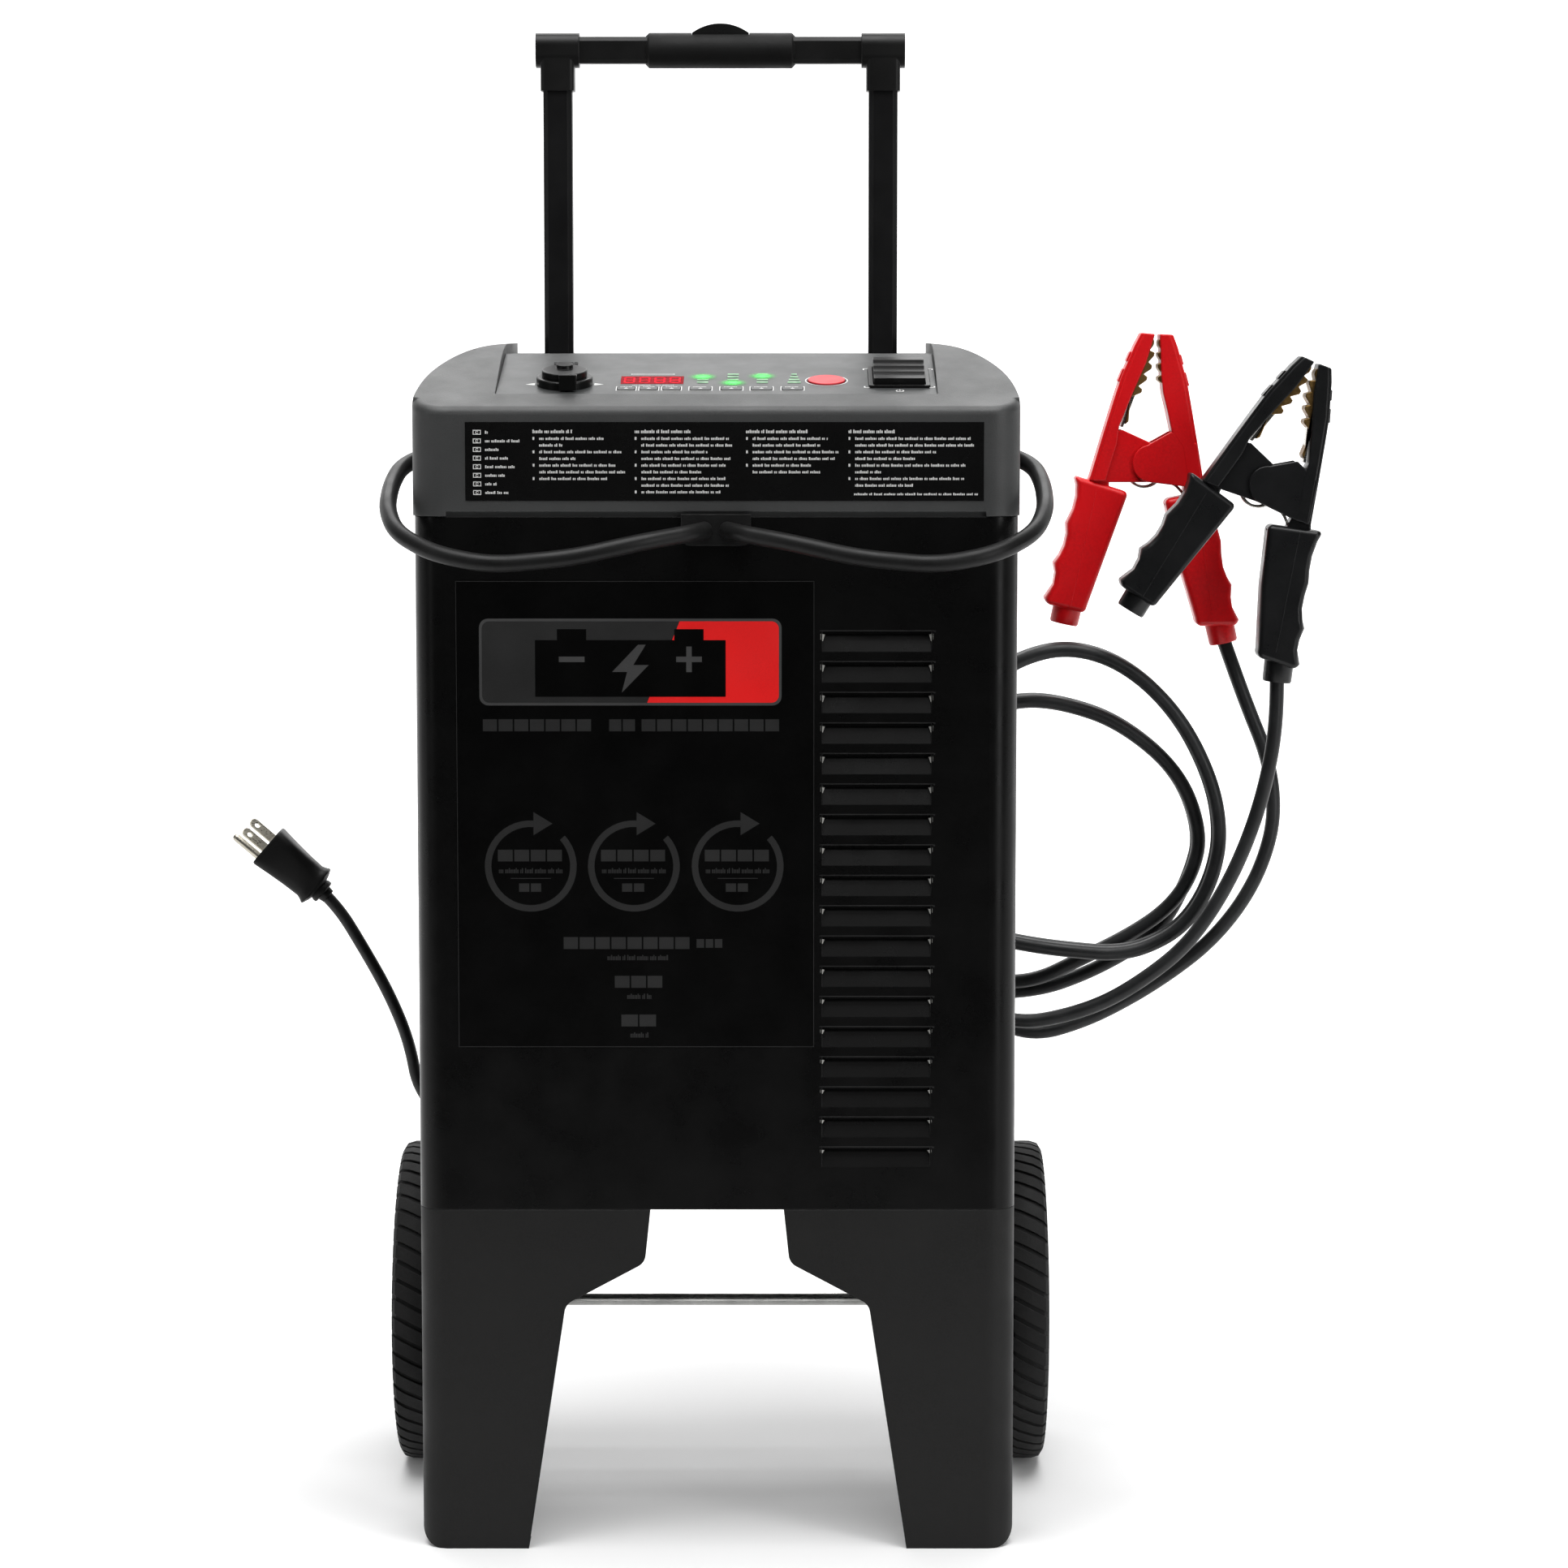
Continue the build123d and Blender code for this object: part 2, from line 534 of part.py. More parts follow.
# stepped top of the rocker: (distance along the rocker, height above the panel)
rocker_steps = [(0, 4.8), (9, 4.8), (10, 6.2), (18, 5.6), (19, 7.2), (27, 6.6), (28, 8.3), (36, 7.7),
                (38, 6.4)]
with BuildPart() as power_rocker:
    rocker_side = Plane(origin=PANEL.from_local_coords((ROCKER[0], ROCKER[1] - ROCKER_SIZE[1] / 2, 0)),
                        x_dir=PANEL.y_dir, z_dir=(1, 0, 0))
    with BuildSketch(rocker_side):
        with BuildLine():
            Polyline((0, -4), *rocker_steps, (ROCKER_SIZE[1], -4), (26, -7.5), (12, -7.5), close=True)
        make_face()
    extrude(amount=ROCKER_SIZE[0] / 2, both=True)
    with BuildSketch(Plane(origin=PANEL.from_local_coords((ROCKER[0], ROCKER[1], -PIVOT_DOWN)),
                           x_dir=(0, 1, 0), z_dir=(1, 0, 0))):
        Circle(1.55)
    extrude(amount=BEZEL_SIZE[0] / 2 - 1, both=True)
power_rocker.part.label = "power_rocker"
export_step(power_rocker.part, "parts/power_rocker.step")

# ---------------------------------------------------------------- accessory port and its cap
PORT_RING_R = 15.5
PORT_RING_H = 4.6
PORT_BORE_R = 10.0
PORT_DEPTH = 21.0
CAP_R = 12.5
CAP_T = 3.4
HINGE_V = PORT_RING_R + 3.2
HINGE_H = PORT_RING_H + 1.2
port_plane = Plane(origin=PANEL.from_local_coords((PORT[0], PORT[1], 0)), x_dir=(1, 0, 0), z_dir=PANEL.z_dir)
hinge_side = Plane(origin=port_plane.from_local_coords((0, HINGE_V, HINGE_H)), x_dir=port_plane.y_dir,
                   z_dir=(1, 0, 0))

with BuildPart() as port_flange:
    with BuildSketch(port_plane):
        Circle(PORT_RING_R)
    extrude(amount=PORT_RING_H)
    fillet(port_flange.edges().filter_by(GeomType.CIRCLE).sort_by(Axis.Z)[-1:], 1.2)
    with BuildSketch(port_plane):
        Circle(PORT_HOLE_R)
    extrude(amount=-PORT_DEPTH - 2)
    with BuildSketch(port_plane.offset(PORT_RING_H + 1)):
        Circle(PORT_BORE_R)
    extrude(amount=-PORT_DEPTH - PORT_RING_H - 1, mode=Mode.SUBTRACT)
    # two hinge ears with the pin between them
    for side in (-1, 1):
        with BuildSketch(hinge_side.offset(side * 4.6)):
            Circle(2.2)
            with Locations((-1.4, -2.6)):
                Rectangle(7.0, 6.4)
        extrude(amount=side * 2)
    with BuildSketch(hinge_side):
        Circle(1.0)
    extrude(amount=5.0, both=True)
port_flange.part.label = "port_flange"
export_step(port_flange.part, "parts/port_flange.step")

with BuildPart() as port_cap:
    with BuildSketch(port_plane.offset(PORT_RING_H + GAP)):
        Circle(CAP_R)
    extrude(amount=CAP_T)
    fillet(port_cap.edges().filter_by(GeomType.CIRCLE).sort_by(Axis.Z)[-1:], 0.8)
    with BuildSketch(port_plane.offset(PORT_RING_H + GAP + CAP_T)):
        with Locations((0, 4)):
            Circle(4.8)
    extrude(amount=2.0, taper=8)
    # finger tab that hangs over the front of the ring
    with BuildSketch(port_plane.offset(1.0)):
        with Locations((2.5, -PORT_RING_R - 1.8)):
            RectangleRounded(9.6, 2.4, 0.8)
    extrude(amount=PORT_RING_H + CAP_T + 0.6)
    with BuildSketch(port_plane.offset(PORT_RING_H + GAP + 0.6)):
        with Locations((2.5, -14.5)):
            Rectangle(9.6, 7.5)
    extrude(amount=2.6)
    # strap and knuckle round the hinge pin
    with BuildSketch(port_plane.offset(PORT_RING_H + GAP)):
        with Locations((0, HINGE_V / 2 + 5)):
            Rectangle(8.4, HINGE_V - 8)
    extrude(amount=1.6)
    with BuildSketch(hinge_side):
        Circle(2.1)
    extrude(amount=4.2, both=True)
    with BuildSketch(hinge_side):
        Circle(1.05)
    extrude(amount=9, both=True, mode=Mode.SUBTRACT)
port_cap.part.label = "port_cap"
export_step(port_cap.part, "parts/port_cap.step")

# ---------------------------------------------------------------- labels
LABEL_T = 0.3
with BuildPart() as instruction_label:
    with BuildSketch(Plane.XZ.offset(-(FRONT - HOUSING_LIP))):
        with Locations((4.75, 604.7)):
            Rectangle(281.5, 42.6)
    extrude(amount=LABEL_T)
instruction_label.part.label = "instruction_label"
export_step(instruction_label.part, "parts/instruction_label.step")

with BuildPart() as front_decal:
    with BuildSketch(Plane.XZ.offset(-FRONT)):
        with Locations((-44.25, 411.35)):
            Rectangle(195.5, 256.7)
    extrude(amount=LABEL_T)
front_decal.part.label = "front_decal"
export_step(front_decal.part, "parts/front_decal.step")

# ---------------------------------------------------------------- telescoping handle
GUIDE_BOTTOM = 215.0
GUIDE_TOP = 654.0
TUBE_BOTTOM = GUIDE_BOTTOM + HANDLE_TRAVEL + 35
TUBE_TOP = 824.0
SOCKET_BOTTOM = 814.0
tube_spots = [at(-HANDLE_X, HANDLE_BACK, 0), at(HANDLE_X, HANDLE_BACK, 0)]

with BuildPart() as guide_tubes:
    with BuildSketch(Plane.XY.offset(GUIDE_BOTTOM)):
        with Locations(*tube_spots):
            Rectangle(TUBE + 2 * GAP + 2.4, TUBE + 2 * GAP + 2.4)
    extrude(amount=GUIDE_TOP - GUIDE_BOTTOM)
    guide_back = HANDLE_BACK + TUBE / 2 + GAP
    guide_room = CASE_D - SHEET - TOUCH - guide_back
    with Locations(*[at(x, guide_back + guide_room / 2, z)
                     for x in (-HANDLE_X, HANDLE_X) for z in (275, 410, 540)]):
        Box(12, guide_room, 14)
    with BuildSketch(Plane.XY.offset(GUIDE_BOTTOM)):
        with Locations(*tube_spots):
            Rectangle(TUBE + 2 * GAP, TUBE + 2 * GAP)
    extrude(amount=GUIDE_TOP - GUIDE_BOTTOM, mode=Mode.SUBTRACT)
guide_tubes.part.label = "guide_tubes"
export_step(guide_tubes.part, "parts/guide_tubes.step")

with BuildPart() as handle_tubes:
    with BuildSketch(Plane.XY.offset(TUBE_BOTTOM)) as tube_sections:
        with Locations(*tube_spots):
            Rectangle(TUBE, TUBE)
        chamfer(tube_sections.vertices(), TUBE_CHAMFER)
        with Locations(*tube_spots):
            Rectangle(TUBE - 2 * TUBE_WALL, TUBE - 2 * TUBE_WALL, mode=Mode.SUBTRACT)
    extrude(amount=TUBE_TOP - TUBE_BOTTOM)
handle_tubes.part.label = "handle_tubes"
export_step(handle_tubes.part, "parts/handle_tubes.step")

BUTTON_W = 33.0
BUTTON_D = 9.0
BUTTON_TOP = BAR_Z + 15.4
BUTTON_TRAVEL = 4.0
POCKET_Z = BAR_Z - 4.2
bar_plane = Plane(origin=at(0, HANDLE_BACK, BAR_Z), x_dir=(0, 1, 0), z_dir=(1, 0, 0))
with BuildPart() as handle_crossbar:
    with BuildSketch(bar_plane) as bar_section:
        Rectangle(BAR, BAR)
        chamfer(bar_section.vertices(), 2.4)
    extrude(amount=HANDLE_X, both=True)
    with BuildSketch(bar_plane.offset(HANDLE_X - 12.6)):
        RectangleRounded(20, 20, 7)
    extrude(amount=25.2)
    with BuildSketch(Plane.XY.offset(SOCKET_BOTTOM)):
        with Locations(at(HANDLE_X, HANDLE_BACK, 0)):
            RectangleRounded(19.6, 19.6, 3)
    extrude(amount=BAR_Z - SOCKET_BOTTOM)
    with BuildSketch(bar_plane.offset(-HANDLE_X + 12.6)):
        RectangleRounded(20, 20, 7)
    extrude(amount=-25.2)
    with BuildSketch(Plane.XY.offset(SOCKET_BOTTOM)):
        with Locations(at(-HANDLE_X, HANDLE_BACK, 0)):
            RectangleRounded(19.6, 19.6, 3)
    extrude(amount=BAR_Z - SOCKET_BOTTOM)
    with BuildSketch(Plane.XY.offset(SOCKET_BOTTOM)):
        with Locations(*tube_spots):
            Rectangle(TUBE + 0.2, TUBE + 0.2)
    extrude(amount=TUBE_TOP - SOCKET_BOTTOM + 0.1, mode=Mode.SUBTRACT)
    with Locations((0, back(HANDLE_BACK), POCKET_Z + 10)):
        Box(BUTTON_W + 2 * GAP, BUTTON_D + 2 * GAP, 20, mode=Mode.SUBTRACT)
handle_crossbar.part.label = "handle_crossbar"
export_step(handle_crossbar.part, "parts/handle_crossbar.step")

GRIP_HALF = 43.5
with BuildPart() as handle_grip:
    with BuildSketch(bar_plane):
        Circle(10.25)
    extrude(amount=GRIP_HALF, both=True)
    chamfer(handle_grip.edges().filter_by(GeomType.CIRCLE), 2)
    with BuildSketch(bar_plane) as grip_hole:
        Rectangle(BAR + 0.1, BAR + 0.1)
        chamfer(grip_hole.vertices(), 2.4)
    extrude(amount=GRIP_HALF + 1, both=True, mode=Mode.SUBTRACT)
    with Locations((0, back(HANDLE_BACK), BAR_Z + 10)):
        Box(BUTTON_W + 2 * GAP, BUTTON_D + 2 * GAP, 20, mode=Mode.SUBTRACT)
handle_grip.part.label = "handle_grip"
export_step(handle_grip.part, "parts/handle_grip.step")

with BuildPart() as release_button:
    with BuildSketch(Plane.XZ.offset(-back(HANDLE_BACK))):
        with BuildLine():
            Line((-BUTTON_W / 2, BAR_Z + 10), (-BUTTON_W / 2, BAR_Z + 0.2))
            Line((-BUTTON_W / 2, BAR_Z + 0.2), (BUTTON_W / 2, BAR_Z + 0.2))
            Line((BUTTON_W / 2, BAR_Z + 0.2), (BUTTON_W / 2, BAR_Z + 10))
            ThreePointArc((BUTTON_W / 2, BAR_Z + 10), (0, BUTTON_TOP), (-BUTTON_W / 2, BAR_Z + 10))
        make_face()
    extrude(amount=BUTTON_D / 2, both=True)
release_button.part.label = "release_button"
export_step(release_button.part, "parts/release_button.step")

# ---------------------------------------------------------------- inside the case
FAN_FRONT = 197.0
FAN_T = 25.0
FAN_BORE_R = 37.5
FAN_SCREW_SPOT = 35.7
FAN_PIN_R = 3.0
with BuildPart() as fan_frame:
    with Locations(at(0, FAN_FRONT + FAN_T / 2, FAN_Z)):
        Box(FAN_SIZE, FAN_T, FAN_SIZE)
        Cylinder(FAN_BORE_R, FAN_T + 5, rotation=(90, 0, 0), mode=Mode.SUBTRACT)
    with Locations(at(0, FAN_FRONT + 23.5, FAN_Z)):
        Box(FAN_SIZE - 2, 3, 5, rotation=(0, 45, 0))
        Box(FAN_SIZE - 2, 3, 5, rotation=(0, -45, 0))
        Cylinder(15, 3, rotation=(90, 0, 0))
    with Locations(at(0, FAN_FRONT + 14, FAN_Z)):
        Cylinder(FAN_PIN_R, 18, rotation=(90, 0, 0))
    with Locations(*[at(x, FAN_FRONT + FAN_T / 2, FAN_Z + z)
                     for x in (-FAN_SCREW_SPOT, FAN_SCREW_SPOT) for z in (-FAN_SCREW_SPOT, FAN_SCREW_SPOT)]):
        Cylinder(SCREW_HOLE_R, FAN_T + 5, rotation=(90, 0, 0), mode=Mode.SUBTRACT)
fan_frame.part.label = "fan_frame"
export_step(fan_frame.part, "parts/fan_frame.step")

rotor_plane = Plane(origin=at(0, FAN_FRONT + FAN_T / 2, FAN_Z), x_dir=(1, 0, 0), z_dir=(0, -1, 0))
with BuildPart() as fan_rotor:
    with BuildSketch(rotor_plane):
        Circle(14)
    extrude(amount=8.5, both=True)
    with BuildSketch(rotor_plane):
        with PolarLocations(24.5, 7):
            Rectangle(23, 2.2)
    extrude(amount=7, both=True)
    with BuildSketch(rotor_plane):
        Circle(FAN_PIN_R + 0.05)
    extrude(amount=20, both=True, mode=Mode.SUBTRACT)
fan_rotor.part.label = "fan_rotor"
export_step(fan_rotor.part, "parts/fan_rotor.step")

CORE_BOTTOM = TRAY_TOP + TOUCH
CORE_H = 92.0
CORE_SPOT = at(-40, 105, CORE_BOTTOM + CORE_H / 2)
with BuildPart() as transformer_core:
    with Locations(CORE_SPOT):
        Box(110, 45, CORE_H)
    with Locations(*[(CORE_SPOT[0] + side * 27.5, CORE_SPOT[1], CORE_SPOT[2]) for side in (-1, 1)]):
        Box(19, 60, 56, mode=Mode.SUBTRACT)
transformer_core.part.label = "transformer_core"
export_step(transformer_core.part, "parts/transformer_core.step")

with BuildPart() as transformer_windings:
    with BuildSketch(Plane.XY.offset(CORE_SPOT[2])):
        with Locations(CORE_SPOT):
            RectangleRounded(73.4, 84, 8)
            Rectangle(36.4, 45.4, mode=Mode.SUBTRACT)
    extrude(amount=27.8, both=True)
transformer_windings.part.label = "transformer_windings"
export_step(transformer_windings.part, "parts/transformer_windings.step")

with BuildPart() as heat_sink:
    with Locations(at(106, 112, CORE_BOTTOM + 3)):
        Box(84, 70, 6)
    with Locations(at(106, 112, CORE_BOTTOM + 38)):
        with GridLocations(10, 1, 8, 1):
            Box(2, 70, 66)
heat_sink.part.label = "heat_sink"
export_step(heat_sink.part, "parts/heat_sink.step")

with BuildPart() as control_board:
    with Locations(at(-12.5, 48, BOARD_TOP - 0.8)):
        Box(200, 60, 1.6)
    with Locations(at(-80, 34, BOARD_TOP - 9.6)):
        Box(22, 16, 16)
    with Locations(at(-45, 34, BOARD_TOP - 11.6)):
        Cylinder(6, 20)
    with Locations(at(-28, 34, BOARD_TOP - 11.6)):
        Cylinder(6, 20)
    with Locations(at(25, 60, BOARD_TOP - 5.6)):
        Box(30, 18, 8)
control_board.part.label = "control_board"
export_step(control_board.part, "parts/control_board.step")

with BuildPart() as case_screws:
    with BuildSketch(Plane.XZ.offset(-REAR)):
        with Locations(*rear_screws):
            Circle(SCREW_HEAD_R)
    extrude(amount=-2)
    with BuildSketch(Plane.XZ.offset(-REAR)):
        with Locations(*rear_screws):
            Circle(SCREW_R)
    extrude(amount=8)
    with BuildSketch(Plane.XY.offset(LEG_TOP - LEG_SHEET)):
        with Locations(*[at(x, y, 0) for x, y in tray_screws]):
            Circle(SCREW_HEAD_R)
    extrude(amount=-2)
    with BuildSketch(Plane.XY.offset(LEG_TOP - LEG_SHEET)):
        with Locations(*[at(x, y, 0) for x, y in tray_screws]):
            Circle(SCREW_R)
    extrude(amount=8)
case_screws.part.label = "case_screws"
export_step(case_screws.part, "parts/case_screws.step")

# ---------------------------------------------------------------- cord glands with tapered reliefs
RELIEF_LEN = 20.5         # behind the rear face
GLAND_FLANGE_R = 8.5
GLAND_FLANGE_T = 3.5
with BuildPart() as cord_glands:
    for (x, z), cord in ((MAINS_GLAND, CORD_D), (LEAD_GLANDS[0], LEAD_D), (LEAD_GLANDS[1], LEAD_D)):
        gland_plane = Plane(origin=(x, REAR, z), x_dir=(-1, 0, 0), z_dir=(0, 1, 0))
        with BuildSketch(gland_plane):
            Circle(GLAND_FLANGE_R)
        extrude(amount=GLAND_FLANGE_T)
        with BuildSketch(gland_plane):
            Circle(GLAND_HOLE_R - 0.1)
        extrude(amount=-6)
        with BuildSketch(gland_plane.offset(GLAND_FLANGE_T)):
            Circle(GLAND_FLANGE_R - 1.5)
        with BuildSketch(gland_plane.offset(RELIEF_LEN)):
            Circle(cord / 2 + 1.0)
        loft()
        with BuildSketch(gland_plane.offset(RELIEF_LEN + 1)):
            Circle(cord / 2 + 0.05)
        extrude(amount=-RELIEF_LEN - 10, mode=Mode.SUBTRACT)
cord_glands.part.label = "cord_glands"
export_step(cord_glands.part, "parts/cord_glands.step")

# ---------------------------------------------------------------- mains cord, coil and plug
COIL_MID_R = 41.0
COIL_SPOT = (-62.0, 330.0)
COIL_BACK = (234.0, 282.0)
PLUG_END = (-248.0, 341.0)
PLUG_BACK = 250.0
PLUG_DIR = Vector(-0.757, 0, 0.653)
mains_entry = [at(x, y, z) for x, y, z in (
    (-26, 216, 235), (-26, 262, 235), (-26, 286, 259), (-24, 286, 293), (-21, 278, 326))]
mains_tail = [at(x, y, z) for x, y, z in (
    (-103, 239, 322), (-101, 241, 286), (-101, 245, 250), (-104, 249, 214), (-128, 250, 189.5),
    (-162, 250, 189.5), (-186, 250, 213.5), (-191, 250, 244), (-203, 250, 274), (-219, 250, 303),
    (-235, 250, 329.5), (-248, 250, 341))]
with BuildPart() as mains_cord:
    add(tube_along(mains_entry, CORD_D).part)
    add(tube_along(mains_tail, CORD_D).part)
mains_cord.part.label = "mains_cord"
export_step(mains_cord.part, "parts/mains_cord.step")


def ring_coil(spot, mid_r, width, start, end):
    """A coil drawn as one plain ring: the space that its turns take."""
    with BuildPart() as ring:
        with BuildSketch(Plane.XZ.offset(-back(start))):
            with Locations(spot):
                Circle(mid_r + width / 2)
                Circle(mid_r - width / 2, mode=Mode.SUBTRACT)
        extrude(amount=start - end)
    return ring


mains_coil = ring_coil(COIL_SPOT, COIL_MID_R, 8.2, *COIL_BACK)
mains_coil.part.label = "mains_coil"
export_step(mains_coil.part, "parts/mains_coil.step")

plug_rear = Plane(origin=at(PLUG_END[0], PLUG_BACK, PLUG_END[1]), x_dir=(0, 1, 0), z_dir=PLUG_DIR)
PLUG_LEN = 37.0
PLUG_NECK = 14.0          # length of the narrower part
PLUG_RELIEF = 26.0
PLUG_W = 27.0
PLUG_H = 24.0
BLADE_APART = 12.7
BLADE_LEN = 17.5
with BuildPart() as mains_plug:
    with BuildSketch(plug_rear.offset(-PLUG_RELIEF)):
        Circle(CORD_D / 2 + 0.8)
    with BuildSketch(plug_rear.offset(2)):
        Circle(7.5)
    loft()
    with BuildSketch(plug_rear):
        RectangleRounded(20, 18, 6)
    with BuildSketch(plug_rear.offset(PLUG_NECK)):
        RectangleRounded(PLUG_H, PLUG_W - 1, 7)
    loft()
    with BuildSketch(plug_rear.offset(PLUG_NECK)):
        RectangleRounded(PLUG_H, PLUG_W, 7)
    extrude(amount=PLUG_LEN - PLUG_NECK)
mains_plug.part.label = "mains_plug"
export_step(mains_plug.part, "parts/mains_plug.step")

plug_face = plug_rear.offset(PLUG_LEN)
with BuildPart() as plug_blades:
    with BuildSketch(plug_face):
        with Locations((3.0, -BLADE_APART / 2), (3.0, BLADE_APART / 2)):
            Rectangle(6.35, 1.5)
    extrude(amount=BLADE_LEN)
    with BuildSketch(plug_face):
        with Locations((-7.4, 0)):
            Circle(2.4)
    extrude(amount=21)
plug_blades.part.label = "plug_blades"
export_step(plug_blades.part, "parts/plug_blades.step")

# ---------------------------------------------------------------- output leads and their coil
RING_W = 12.0
with BuildPart() as lead_coil:
    add(ring_coil((225, 392), 90, RING_W, 243, 262).part)
    add(ring_coil((200, 360), 93, RING_W, 264, 286).part)
lead_coil.part.label = "lead_coil"
export_step(lead_coil.part, "parts/lead_coil.step")

RED_BACK = 273.0
BLACK_BACK = 230.0
lead_routes = {
    "red": (
        ((70, 216, 210), (70, 262, 210), (71, 288, 233), (80, 291, 263), (104, 288, 284), (136, 283, 286),
         (168, 277, 277), (196, 272, 268)),
        ((136, 261, 385), (134, 267, 350), (136, 270, 315), (144, 269, 283), (162, 264, 257),
         (189, 257, 247), (220, 257, 256), (248, 258, 270), (273, 258, 286), (296, 259, 304),
         (315, 262, 326), (329, 266, 351),
         (337, 270, 381), (333, RED_BACK, 415), (318.6, RED_BACK, 449.2), (301.5, RED_BACK, 496.2))),
    "black": (
        ((95, 216, 210), (95, 262, 210), (97, 287, 228), (110, 294, 254), (135, 291, 268), (165, 286, 269),
         (195, 281, 272)),
        ((131, 247, 385), (126, 246, 350), (127, 244, 314), (138, 242, 284), (157, 240, 264),
         (182, 237, 258), (208, 235, 263), (233, 234, 272), (257, 234, 287), (278, 234, 304),
         (294, 234, 325), (308, 234, 350),
         (319, 234, 377), (327, 232, 406), (332, BLACK_BACK, 437), (332.6, BLACK_BACK, 475))),
}
for name, (entry, tail) in lead_routes.items():
    with BuildPart() as lead:
        add(tube_along([at(x, y, z) for x, y, z in entry], LEAD_D).part)
        add(tube_along([at(x, y, z) for x, y, z in tail], LEAD_D).part)
    lead.part.label = f"{name}_lead"
    export_step(lead.part, f"parts/{name}_lead.step")

# ---------------------------------------------------------------- battery clamps
RED_PIVOT = at(257, RED_BACK, 596)
BLACK_PIVOT = at(323, BLACK_BACK, 585)
RED_TILT = 3.5
BLACK_TILT = 22.5
EAR_R = 14.0
PIN_R = 3.0
arm_outline = ((9.3, 78), (12.5, 71), (20, 49), (23.5, 36), (29, 13), (33, -11), (44, -12), (45.5, -24),
               (51, -31), (50, -44), (55.5, -53), (54, -66), (59.5, -76), (61, -93), (57, -97), (37, -98),
               (27, -72), (17, -40), (10.5, -20), (13, 0), (17, 20), (12, 37), (7, 49), (3, 59), (1.5, 77.6))
jaw_strip = ((13.5, 24), (15.5, 22), (12.6, 36), (5.0, 58), (3.4, 74.5), (1.6, 74.5), (0.9, 71), (1.9, 68),
             (1.1, 64.5), (2.6, 61), (1.9, 57.5), (4.2, 54), (3.4, 50.5), (6.4, 47), (5.4, 43.5), (9.0, 40),
             (8.6, 37))
BOOT_SPOT = (50, -96)
BOOT_R = 8.0
BOOT_LEN = 13.0
CHEEK_FIXED = 8.9         # inner faces of the cheeks, from the middle of the clamp
CHEEK_MOVING = 6.3
CHEEK_T = 2.0
SPRING_R = 8.0
SPRING_HALF = 5.5


def clamp_plane(pivot, tilt):
    """The plane of a clamp: local x across it, local y towards its tips."""
    return Plane(origin=pivot, x_dir=(cos(radians(tilt)), 0, -sin(radians(tilt))), z_dir=(0, -1, 0))


def clamp_arm(plane, side):
    """One arm; side is 1 for the fixed arm that the lead enters and -1 for the arm that swings."""
    with BuildPart() as arm:
        with BuildSketch(plane):
            with BuildLine():
                Polyline(*[(side * x, y) for x, y in arm_outline], close=True)
            make_face()
        extrude(amount=CLAMP_HALF, both=True)
        with BuildSketch(plane.offset(8.6)):
            Circle(EAR_R + 1.5)
        if side > 0:
            extrude(amount=-17.2, mode=Mode.SUBTRACT)
        else:
            extrude(amount=10, mode=Mode.SUBTRACT)
            with BuildSketch(plane.offset(-8.6)):
                Circle(EAR_R + 1.5)
            extrude(amount=-10, mode=Mode.SUBTRACT)
        inner = CHEEK_FIXED if side > 0 else CHEEK_MOVING
        for start in (inner, -inner - CHEEK_T):
            with BuildSketch(plane.offset(start)):
                Circle(EAR_R)
                with Locations((side * 10, 0)):
                    Rectangle(20, 18)
            extrude(amount=CHEEK_T)
        if side < 0:
            with BuildSketch(plane.offset(CHEEK_MOVING)):
                Circle(EAR_R - 1)
            extrude(amount=-2 * CHEEK_MOVING, mode=Mode.SUBTRACT)
        with BuildSketch(plane):
            Circle(PIN_R + 0.05)
        extrude(amount=20, both=True, mode=Mode.SUBTRACT)
        boot_plane = Plane(origin=plane.from_local_coords((side * BOOT_SPOT[0], BOOT_SPOT[1], 0)),
                           x_dir=(0, 1, 0),
                           z_dir=plane.from_local_coords((side * 0.4, -0.917, 0)) - plane.origin)
        with BuildSketch(boot_plane.offset(-4)):
            Circle(BOOT_R)
        extrude(amount=BOOT_LEN)
        with BuildSketch(boot_plane.offset(20)):
            Circle(LEAD_D / 2 + 0.15)
        extrude(amount=-34, mode=Mode.SUBTRACT)
    return arm


def jaw_insert(plane, side):
    """A toothed metal strip on the inner edge of an arm."""
    with BuildPart() as insert:
        with BuildSketch(plane):
            with BuildLine():
                Polyline(*[(side * x, y) for x, y in jaw_strip], close=True)
            make_face()
        extrude(amount=CLAMP_HALF - 2.5, both=True)
    return insert


clamps = {"red": clamp_plane(RED_PIVOT, RED_TILT), "black": clamp_plane(BLACK_PIVOT, BLACK_TILT)}
for name, plane in clamps.items():
    for side, part_name in ((1, "fixed"), (-1, "moving")):
        insert = jaw_insert(plane, side)
        arm = clamp_arm(plane, side)
        with BuildPart() as trimmed:
            add(arm.part)
            add(insert.part, mode=Mode.SUBTRACT)
        trimmed.part.label = f"{name}_{part_name}_arm"
        export_step(trimmed.part, f"parts/{name}_{part_name}_arm.step")
    insert.part.label = f"{name}_moving_jaw"
    export_step(insert.part, f"parts/{name}_moving_jaw.step")

with BuildPart() as clamp_fixed_jaws:
    for plane in clamps.values():
        add(jaw_insert(plane, 1).part)
clamp_fixed_jaws.part.label = "clamp_fixed_jaws"
export_step(clamp_fixed_jaws.part, "parts/clamp_fixed_jaws.step")

with BuildPart() as clamp_pins:
    for plane in clamps.values():
        with BuildSketch(plane):
            Circle(PIN_R)
        extrude(amount=CLAMP_HALF + 0.6, both=True)
clamp_pins.part.label = "clamp_pins"
export_step(clamp_pins.part, "parts/clamp_pins.step")

